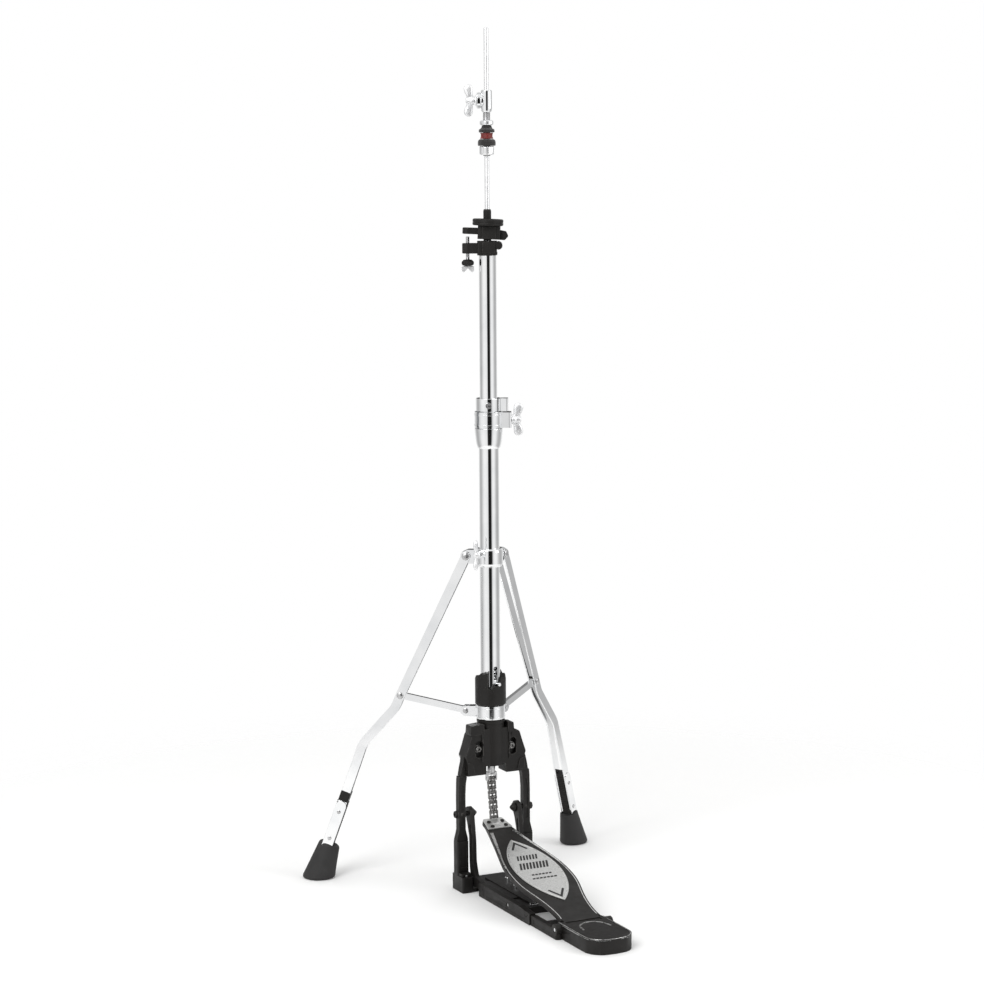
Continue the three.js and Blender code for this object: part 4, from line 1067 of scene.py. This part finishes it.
def make_foot(side, name, place):
    """The rubber boot, the serrated spacer, plates and rivets above it, and the left foot's block."""
    body = f"{name}_leg"
    spacer = prism(serrated([(195.4, 105.5), (218.1, 43.1)], 15.0, 3.0, 1.1), -STRAP_IN, STRAP_IN, "xz")
    piece(
        spacer, f"{name}_foot_serrated_spacer", body, MOULDED, (f"{name}_foot_spacer",), "black_steel", place,
        bevel=0.3,
    )
    (x0, z0, _), (x1, z1, _) = STRAP_PATH[-2:]
    if side < 0:
        lean = math.atan2(x1 - x0, z0 - z1)
        at = Matrix.Translation((x0, 0, z0)) @ Matrix.Rotation(-lean, 4, "Y")
        yoke = moved(slab(rect(-6.5, 6.5, -8.6, 8.6), 1.6, -7, 6.5), at)
        piece(yoke, f"{name}_foot_block", body, MOULDED, at=place, bevel=0.8)
    plates, heads = [], []
    for out in (-1, 1):
        face = out * (STRAP_Y + STRAP_T / 2)
        line = ribbon([(197.8, 98.9), (217.9, 43.8)], 14.0, 8)
        plates.append(softened(prism(line, *sorted((face, face + out * 1.2)), "xz"), 0.35))
        for z in (91.0, 55.5):
            x = x0 + (x1 - x0) * (z0 - z) / (z0 - z1)
            heads.append(rivet((x, out * 8.7, z), (0, out, 0), 2.6, 1.2))
    piece(together(*plates), f"{name}_foot_plates", body, CHROME, at=place)
    piece(together(*heads), f"{name}_foot_rivets", body, SATIN, at=place)

    rings = []
    for z in FOOT_LEVELS:
        radius = 22.5 - 9.5 * (z / FOOT_H) ** 0.85
        if z < FOOT_FILLET:
            radius -= FOOT_FILLET * (1 - math.sqrt(1 - (1 - z / FOOT_FILLET) ** 2))
        if z > FOOT_H - FOOT_BROW:
            radius -= 2.0 * (1 - math.sqrt(max(1 - ((z - FOOT_H + FOOT_BROW) / FOOT_BROW) ** 2, 0)))
        row = []
        for k in range(FOOT_SIDES):
            t = math.tau * k / FOOT_SIDES
            reach = radius * (1 - 0.03 * math.sin(2 * t) ** 2)
            x, y = reach * math.cos(t), 0.88 * reach * math.sin(t)
            row.append((FOOT_R + FOOT_SHEAR * z + x, y, z + FOOT_SLOPE * x * z / FOOT_H))
        rings.append(row)
    pocket = softened(prism(ribbon([(208.4, 70), (219.9, 37.8)], 15.6, 8), -9.3, 9.3, "xz"), 1.0)
    boot = fused(bridged(rings), cuts=[pocket])
    piece(boot, f"{name}_rubber_boot", body, RUBBER, (f"{name}_rubber_foot",), "rubber", place, bevel=0.5)


def strap_away(z):
    """A strap's distance from the leg's middle plane at a height."""
    for (_, high, a), (_, low, b) in zip(STRAP_PATH, STRAP_PATH[1:]):
        if z >= low:
            return a + (b - a) * min(max((high - z) / (high - low), 0), 1)
    return STRAP_PATH[-1][2]


def make_strap(side):
    """A flat strap that follows the leg's path and closes in beside the brace; round ends."""
    half = STRAP_W / 2
    path = [Vector(p) for p in rounded([point[:2] for point in STRAP_PATH], 34, closed=False, steps=8)]
    first, last = (path[1] - path[0]).normalized(), (path[-1] - path[-2]).normalized()
    caps = [math.radians(12 * s) for s in range(7, 0, -1)]
    stations = [(path[0] - first * half * math.sin(t), first, half * math.cos(t)) for t in caps]
    for i, point in enumerate(path):
        into = (point - path[i - 1]).normalized() if i else first
        out = (path[i + 1] - point).normalized() if i + 1 < len(path) else last
        stations.append((point, (into + out).normalized(), half))
    stations += [(path[-1] + last * half * math.sin(t), last, half * math.cos(t)) for t in reversed(caps)]
    rings = []
    for point, along, reach in stations:
        square = Vector((-along.y, along.x)) * reach
        middle = side * strap_away(point.y)
        left, right = point + square, point - square
        low, high = middle - STRAP_T / 2, middle + STRAP_T / 2
        rings.append([(p.x, y, p.y) for p, y in ((left, low), (left, high), (right, high), (right, low))])
    return bridged(rings)


def make_leg(side, name):
    place = leg_frame(side)
    body = f"{name}_leg"
    for row, way in (("front", -side), ("rear", side)):
        y = way * STRAP_Y
        strap = fused(make_strap(way), cuts=[pin(LEG_PIN, y - 3, y + 3, 3.35)])
        piece(
            strap, f"{name}_leg_{row}_bar", body, CHROME, (f"{name}_leg_{row}_strap",), "chrome", place,
            bevel=0.6,
        )
    x, z = BRACE_TIP
    face = WAIST_Y + STRAP_T / 2
    heads = [rivet((x, out * face, z), (0, out, 0), 4.4, 2.0) for out in (-1, 1)]
    piece(together(*heads), f"{name}_leg_rivets", body, SATIN, at=place)
    piece(pin(BRACE_TIP, -3.2, 3.2, 5.6, 0.4), f"{name}_leg_bush", body, MOULDED, at=place)
    make_foot(side, name, place)
    arm = prism(ribbon([BRACE_PIN, BRACE_TIP], 8.5), -2.6, 2.6, "xz")
    arm = fused(arm, cuts=[pin(BRACE_PIN, -4, 4, 2.55)])
    piece(arm, f"{name}_brace_bar", f"{name}_brace", CHROME, (f"{name}_brace",), "chrome", place, bevel=0.9)


# ---------- pedal ----------
def make_frame():
    joins = [
        slab(rect(-9, 9, -145, 4), 3, 4, 9), slab(rect(-32.5, 32.5, -147, -132), 2, 0, 9),
        slab(rect(-33, 33, -62, -46), 1, 0, 5.8), slab(rect(-20, 20, -96, -12), 6, 3, 7.6),
    ]
    rail = [(-45, 0), (-45, 17, 1.5), (-158, 17, 4), (-176, 15.2, 4), (-188, 14.5), (-188, 0)]
    dish = [(-56, 3.6), (-56, 13.6), (-150, 13.6), (-170, 11.8), (-178, 10.2), (-178, 3.6)]
    rivet_at = (-126, 9.4)
    cuts = []
    for side in (-1, 1):
        joins.append(slab(rail, 1, *sorted((side * 32, side * 40.5)), "yz"))
        cuts.append(slab(dish, 2.5, *sorted((side * 40.0, side * 42)), "yz"))
        cuts.append(cross_bar(side * 37.5, side * 43, rivet_at, 3.1))
        cuts.append(slab(rect(side * 24 - 2.5, side * 24 + 2.5, -40, -10), 2.4, 4.4, 8))
    base = fused(slab([(-31, -147), (31, -147), (31, 22, 8), (-31, 22, 8)], 2, 0, 6), joins, cuts)
    piece(base, "pedal_front_frame", "pedal_frame", CASTING, ("front_frame",), "black_casting", bevel=0.9)
    bolts = [
        socket_head((9.2, -30, 7.5), (0, 0, 1), 4.4, 7.5),
        socket_head((4.0, -62, 9.0), (0, 0, 1), 3.4, 4.5), cross_bar(-14, 2, (-137, 9.2), 2.2, 0.5),
    ]
    piece(together(*bolts), "pedal_frame_bolts", "pedal_frame", CHROME)
    studs = [rivet((side * 38.4, *rivet_at), (side, 0, 0), 2.3, 1.2) for side in (-1, 1)]
    piece(together(*studs), "pedal_rail_rivets", "pedal_frame", SATIN)


def make_arm(side, name):
    flip = Matrix.Scale(side, 4, (1, 0, 0))
    line = [
        (-13.5, 104, 4), (-17, 84, 10), (-19.6, 66, 12), (-21, 38, 8), (-27, 21.5, 8), (-44.6, 16.6, 1),
        (-44.6, 6.4, 1), (-22, 6.4, 3), (-14.8, 15, 5), (-11.2, 27, 6), (-10, 40, 10), (-9.6, 70, 12),
        (-4, 86, 6), (2.6, 99, 4),
    ]
    dish = [(-13.8, 88), (-16.8, 66), (-18.0, 40), (-14.0, 36), (-12.9, 44), (-12.6, 68), (-9.8, 84)]
    cuts = [slab(dish, 1.8, x0, x1, "yz") for x0, x1 in ((30, 32.4), (35.8, 38))]
    cuts.append(cross_bar(20, 40, PIVOT, 3.35))
    arm = moved(
        fused(slab(line, 1, 31.4, 36.8, "yz"), [cross_bar(31.3, 36.9, PIVOT, 8.6, 0.6, 64)], cuts), flip,
    )
    piece(
        arm, f"{name}_side_arm_shell", "pedal_frame", CASTING, (f"{name}_side_arm",), "black_casting",
        bevel=0.8,
    )
    head = fused(hexagon(4.8, 0.8, 4.1, 0.5), [rod(5.4, 0, 1.2, 0.3)], [turned([(2.2, 2.4), (2.2, 6)], 6)])
    head = moved(head, aimed((51.3, *PIVOT), (60, *PIVOT)))
    knob_line = [(1, 0), (5.6, 0), (6, 0.8), (6, 2.2), (4.6, 3.2), (2.6, 5.6), (1.5, 6.7), (0.7, 6.8)]
    knob = moved(lathe(knob_line, 0.5, 48, False), aimed((31.2, *PIVOT), (20, *PIVOT)))
    pivot = moved(fused(cross_bar(30.5, 53, PIVOT, 3.0), [head, knob]), flip)
    piece(pivot, f"{name}_arm_pivot_bolt", "root", MOULDED, (f"{name}_arm_pivot",), "black_steel", bevel=0.25)


def make_heel():
    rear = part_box("heel_base")[0].y / MM
    half = [(0, rear), (15, rear + 1.8), (24, rear + 7.5), (29.4, rear + 16), (31, rear + 27), (31.2, -268)]
    half = spline([*half, (31.2, HEEL_FRONT)], 4)
    lug_in, bay = 24.6, HINGE[0] - 6.5
    body = prism(mirrored(half + [(lug_in, HEEL_FRONT), (lug_in, bay)]), 0, HEEL_TOP)
    joins, cuts = [slab(rect(-32, 32, -246, -198), 2, 0, 6)], [cross_bar(-42, 42, HINGE, 2.9)]
    rail = [
        (28, -256.5), (34, -258, 3), (39, -256, 3), (39, -188.35, 1), (31, -188.35, 1), (31, -245.5),
        (28, -246),
    ]
    for side in (-1, 1):
        line = rounded([(side * x, *rest) for x, *rest in rail], 0.3, steps=3)
        joins += [prism(line, 0, 12.6), cross_bar(side * 26, side * 39.2, HINGE, 7.0, 0.6, 48)]
        dish = [(-243, 3.4), (-243, 9.6), (-196, 9.6), (-196, 3.4)]
        cuts.append(slab(dish, 2, *sorted((side * 38.6, side * 42)), "yz"))
    heel = fused(body, joins, cuts)
    piece(heel, "heel_base_casting", "pedal_frame", CASTING, ("heel_base",), "black_casting", bevel=0.9)
    shaft = cross_bar(-38.6, 38.6, HINGE, 2.5, 0.5)
    piece(shaft, "heel_hinge_pin", "pedal_frame", CHROME, ("heel_pin",), "chrome")
    lip = [(0.0, -1.5), (0.0, -0.9), (0.8, 0.16), (1.7, 0.16), (1.7, -0.2), (0.5, -1.5)]
    border = [(-x, y) for x, y in reversed(half[1:])] + half
    piece(rim(border, lip, HEEL_TOP, closed=False), "heel_bright_edge", "pedal_frame", EDGE)
    arc = spline([(-18, -288), (-14.5, -272), (-2, -262.5), (12, -265), (18, -276), (20, -286)])
    mark = prism(ribbon(arc, 2.2, 4), HEEL_TOP - 0.3, HEEL_TOP + 0.5)
    piece(mark, "heel_bright_arc", "pedal_frame", EDGE, bevel=0.1)


BOARD_SIDE = [
    (27.6, 3), (26.5, 24), (30, 52), (39.5, 92), (41, 122), (37.5, 150), (26.5, 196), (16.5, 242),
    (14.5, 258), (12.5, 261),
]
# the badge's rows of strokes: middle, half width, height, pitch, stroke width
BADGE_ROWS = (
    (157, 13, 11, 4.3, 2.5), (137, 19.5, 15, 4.6, 2.9), (115, 12, 3, 4.8, 3.6), (106, 15, 3, 5, 3.8),
)


def board_line(start, end, inset=0.0):
    """The footboard's right side between two distances from the hinge."""
    return [(x - inset, u) for x, u in spline(BOARD_SIDE) if start <= u <= end]


def lens(inset):
    """The badge's outline: two arcs that meet in points."""
    r = BADGE_RADIUS - inset
    reach = math.acos((BADGE_RADIUS - BADGE_HALF) / r)
    turns = [-reach + 2 * reach * s / BADGE_STEPS for s in range(BADGE_STEPS + 1)]
    middle = (BADGE_START + BADGE_END) / 2
    right = [(BADGE_HALF - BADGE_RADIUS + r * math.cos(t), middle + r * math.sin(t)) for t in turns]
    return right + [(-x, u) for x, u in reversed(right[1:-1])]


def board_slab(outline, low, high):
    """A prism between two heights over the footboard's top."""
    return prism(outline, BOARD_TOP + low, BOARD_TOP + high)


def badge_marks():
    """A chevron at each end of the badge and rows of slanted strokes between them."""
    marks = []
    arm = 15.5
    for way, tip in ((1, BADGE_END - 9.5), (-1, BADGE_START + 9.5)):
        chevron = [(-arm * 0.62, tip - way * arm), (0, tip), (arm * 0.62, tip - way * arm)]
        marks.append(board_slab(ribbon(chevron, 3.0, 3), 1.05, 1.4))
    for u, half_width, tall, pitch, wide in BADGE_ROWS:
        count = int(2 * half_width / pitch) + 1
        lean = tall * 0.18
        for i in range(count):
            x = (i - (count - 1) / 2) * pitch
            stroke = [
                (x - wide / 2 - lean, u - tall / 2), (x + wide / 2 - lean, u - tall / 2),
                (x + wide / 2 + lean, u + tall / 2), (x - wide / 2 + lean, u + tall / 2),
            ]
            marks.append(board_slab(rounded(stroke, 0.4), 1.05, 1.35))
    return together(*marks)


def make_footboard():
    deck = prism(mirrored(board_line(3, BOARD_L)), BOARD_TOP - BOARD_T, BOARD_TOP)
    joins = [
        cross_bar(-24.2, 24.2, (0, 0), 5.0, 0.6, 48), slab(rect(0, 12, -1, 5.7), 0.6, -24.2, 24.2, "yz"),
    ]
    rib = [(8, 5), (8, -1.6, 1.5), (210, -1.6, 12), (240, 1.8, 4), (244, 5)]
    joins += [slab(rib, 1, x - 1.5, x + 1.5, "yz") for x in (-8, 8)]
    joins += [block(-8, 8, u - 1.2, u + 1.2, 0.2, 5) for u in (60, 110, 160)]
    cuts = [cross_bar(-50, 50, (0, 0), 2.9)]
    cuts += [block(side * 34 - 9.6, side * 34 + 9.6, -2, 8, -20, 20) for side in (-1, 1)]
    board = fused(deck, joins, cuts)
    piece(board, "footboard_casting", "pedal", CASTING, ("footboard",), "black_casting", BOARD, bevel=0.7)

    right = board_line(8.5, 232)
    left = [(-x, u) for x, u in reversed(right)]
    line = [(1.9, -0.3), (1.9, 0.18), (3.0, 0.18), (3.0, -0.3)]
    strips = [rim(side, line, BOARD_TOP, closed=False) for side in (right, left)]
    piece(together(*strips), "footboard_bright_line", "pedal", EDGE, at=BOARD)
    outer = board_line(BAND_START, BAND_END, 0.9)
    inner = [(x - 1.2 - 3.6 * (u - BAND_START) / (BAND_END - BAND_START), u) for x, u in outer]
    bands = [board_slab([(side * x, u) for x, u in outer + inner[::-1]], -0.3, 0.24) for side in (-1, 1)]
    piece(together(*bands), "footboard_side_bands", "pedal", EDGE, at=BOARD)

    badge = board_slab(lens(0.0), 0.3, 1.2)
    piece(badge, "badge_lens", "pedal", PLATE, ("badge_plate",), "silver_plate", BOARD, bevel=0.3, segments=2)
    border = fused(board_slab(lens(1.6), 1.0, 1.45), cuts=[board_slab(lens(2.5), 0, 3)])
    piece(border, "badge_border_line", "pedal", EDGE, at=BOARD)
    piece(badge_marks(), "badge_dark_marks", "pedal", RUBBER, at=BOARD)

    toe = board_slab(mirrored(board_line(233, BOARD_L, 0.4)), 0.3, 2.2)
    toe = fused(toe, [board_slab(rounded(rect(-6.6, 6.6, 246, 259.5), 1.5), 1.5, 3.4)])
    piece(toe, "toe_plate_casting", "pedal", PLATE, ("toe_plate",), "silver_plate", BOARD, bevel=0.5)
    places = [(x, u, BOARD_TOP + 2.1) for x in (9.6, -9.6) for u in (239.5, 251.0)]
    screws = [socket_head(place, (0, 0, 1), 2.6, 1.8) for place in places]
    piece(together(*screws), "toe_plate_screws", "pedal", MOULDED, at=BOARD)


# ---------- stage, metres ----------
CAMERA_AT = (-1.4407, -2.9622, 0.952)
CAMERA_TURN = math.radians(26)
CAMERA_PITCH = math.radians(7.56)
CAMERA_ROLL = math.radians(-0.39)
CAMERA_LENS = 95.08
FLOOR_RADIUS = 1.15
# directions in degrees anticlockwise from +X, with how bright the studio's wall is there
WALLS = [
    (-180, 0.95), (-160, 1.0), (-130, 0.88), (-123, 0.012), (-95, 0.012), (-82, 0.85), (-68, 1.0),
    (-52, 0.95), (-30, 0.58), (-12, 0.46), (8, 0.52), (36, 0.9), (52, 1.0), (58, 0.08), (70, 0.08),
    (76, 1.0), (92, 0.9), (118, 0.52), (138, 0.46), (158, 0.65), (180, 0.95),
]


def make_camera():
    data = bpy.data.cameras.new("camera")
    data.lens = CAMERA_LENS
    data.sensor_width = 36.0
    data.clip_start, data.clip_end = 0.05, 60.0
    camera = bpy.data.objects.new("camera", data)
    bpy.context.scene.collection.objects.link(camera)
    upright = Matrix.Rotation(-CAMERA_TURN, 4, "Z") @ Matrix.Rotation(math.pi / 2 - CAMERA_PITCH, 4, "X")
    camera.matrix_world = Matrix.Translation(CAMERA_AT) @ upright @ Matrix.Rotation(CAMERA_ROLL, 4, "Z")
    bpy.context.scene.camera = camera


def make_floor():
    """A plain pale disc that fades into the white background at its rim."""
    bm = bmesh.new()
    bmesh.ops.create_circle(bm, cap_ends=True, segments=96, radius=FLOOR_RADIUS)
    mesh = bpy.data.meshes.new("floor")
    bm.to_mesh(mesh)
    bm.free()
    floor = bpy.data.objects.new("floor", mesh)
    floor.location.z = -0.0002
    bpy.context.scene.collection.objects.link(floor)
    look = Look("studio_floor", (0.93, 0.93, 0.925), 0.0, 0.85, Specular_IOR_Level=0.1)
    away = look.add("ShaderNodeVectorMath", "Value", {0: look.coords}, operation="LENGTH")
    inputs = {"From Min": FLOOR_RADIUS * 0.5, "From Max": FLOOR_RADIUS * 0.97, "Value": away}
    fade = look.add("ShaderNodeMapRange", "Result", inputs, interpolation_type="SMOOTHSTEP")
    clear = look.add("ShaderNodeBsdfTransparent", "BSDF", {})
    faded = look.add(
        "ShaderNodeMixShader", "Shader", {"Fac": fade, 1: look.shader.outputs["BSDF"], 2: clear},
    )
    look.tree.links.new(faded, look.tree.nodes["Material Output"].inputs["Surface"])
    mesh.materials.append(look.material)


def make_light(name, place, target, size, power):
    data = bpy.data.lights.new(name, "AREA")
    data.shape = "RECTANGLE"
    data.size, data.size_y = size
    data.energy = power
    light = bpy.data.objects.new(name, data)
    turn = (Vector(target) - Vector(place)).to_track_quat("-Z", "Y").to_matrix().to_4x4()
    light.matrix_world = Matrix.Translation(place) @ turn
    bpy.context.scene.collection.objects.link(light)


def make_world():
    """White studio walls with dark gaps between them, so that the chrome has something to show."""
    world = bpy.data.worlds.new("studio")
    bpy.context.scene.world = world
    world.use_nodes = True
    tree = world.node_tree
    direction = tree.nodes.new("ShaderNodeTexCoord").outputs["Generated"]
    split = add_node(tree, "ShaderNodeSeparateXYZ", {0: direction}).outputs
    turn = add_node(tree, "ShaderNodeMath", {0: split["Y"], 1: split["X"]}, operation="ARCTAN2").outputs[0]
    share = add_node(tree, "ShaderNodeMapRange", {"From Min": -math.pi, "From Max": math.pi, "Value": turn})
    stops = [((degrees + 180) / 360, (bright,) * 3) for degrees, bright in WALLS]
    wall = color_ramp(tree, share.outputs["Result"], stops)
    up = add_node(tree, "ShaderNodeMapRange", {"From Min": 0.45, "From Max": 0.85, "Value": split["Z"]})
    inputs = {"Factor": up.outputs["Result"], "A": wall, "B": (0.95, 0.95, 0.95, 1)}
    ceiling = add_node(tree, "ShaderNodeMix", inputs, data_type="RGBA")
    background = tree.nodes["Background"]
    tree.links.new(ceiling.outputs["Result"], background.inputs["Color"])
    background.inputs["Strength"].default_value = 1.0
    plain = add_node(tree, "ShaderNodeBackground", {"Color": (1.0, 1.0, 1.0, 1)}).outputs["Background"]
    camera_ray = tree.nodes.new("ShaderNodeLightPath").outputs["Is Camera Ray"]
    inputs = {"Fac": camera_ray, 1: background.outputs["Background"], 2: plain}
    seen = add_node(tree, "ShaderNodeMixShader", inputs)
    tree.links.new(seen.outputs["Shader"], tree.nodes["World Output"].inputs["Surface"])


make_camera()
make_floor()
make_world()
make_light("key", (-2.4, -1.6, 2.6), (0, 0, 0.5), (1.6, 2.2), 60)
make_light("fill", (2.2, -2.2, 1.8), (0, 0, 0.4), (1.4, 2.0), 26)
bpy.context.scene.view_settings.view_transform = "Standard"
make_tubes()
make_hub()
for side, name in SIDES:
    make_column(side, name)
make_clamp()
make_seat()
make_clutch()
make_rods()
make_yoke()
make_cam()
make_adapter()
make_chain()
make_ring()
make_collar()
for side, name in SIDES:
    make_leg(side, name)
make_frame()
for side, name in SIDES:
    make_arm(side, name)
make_heel()
make_footboard()
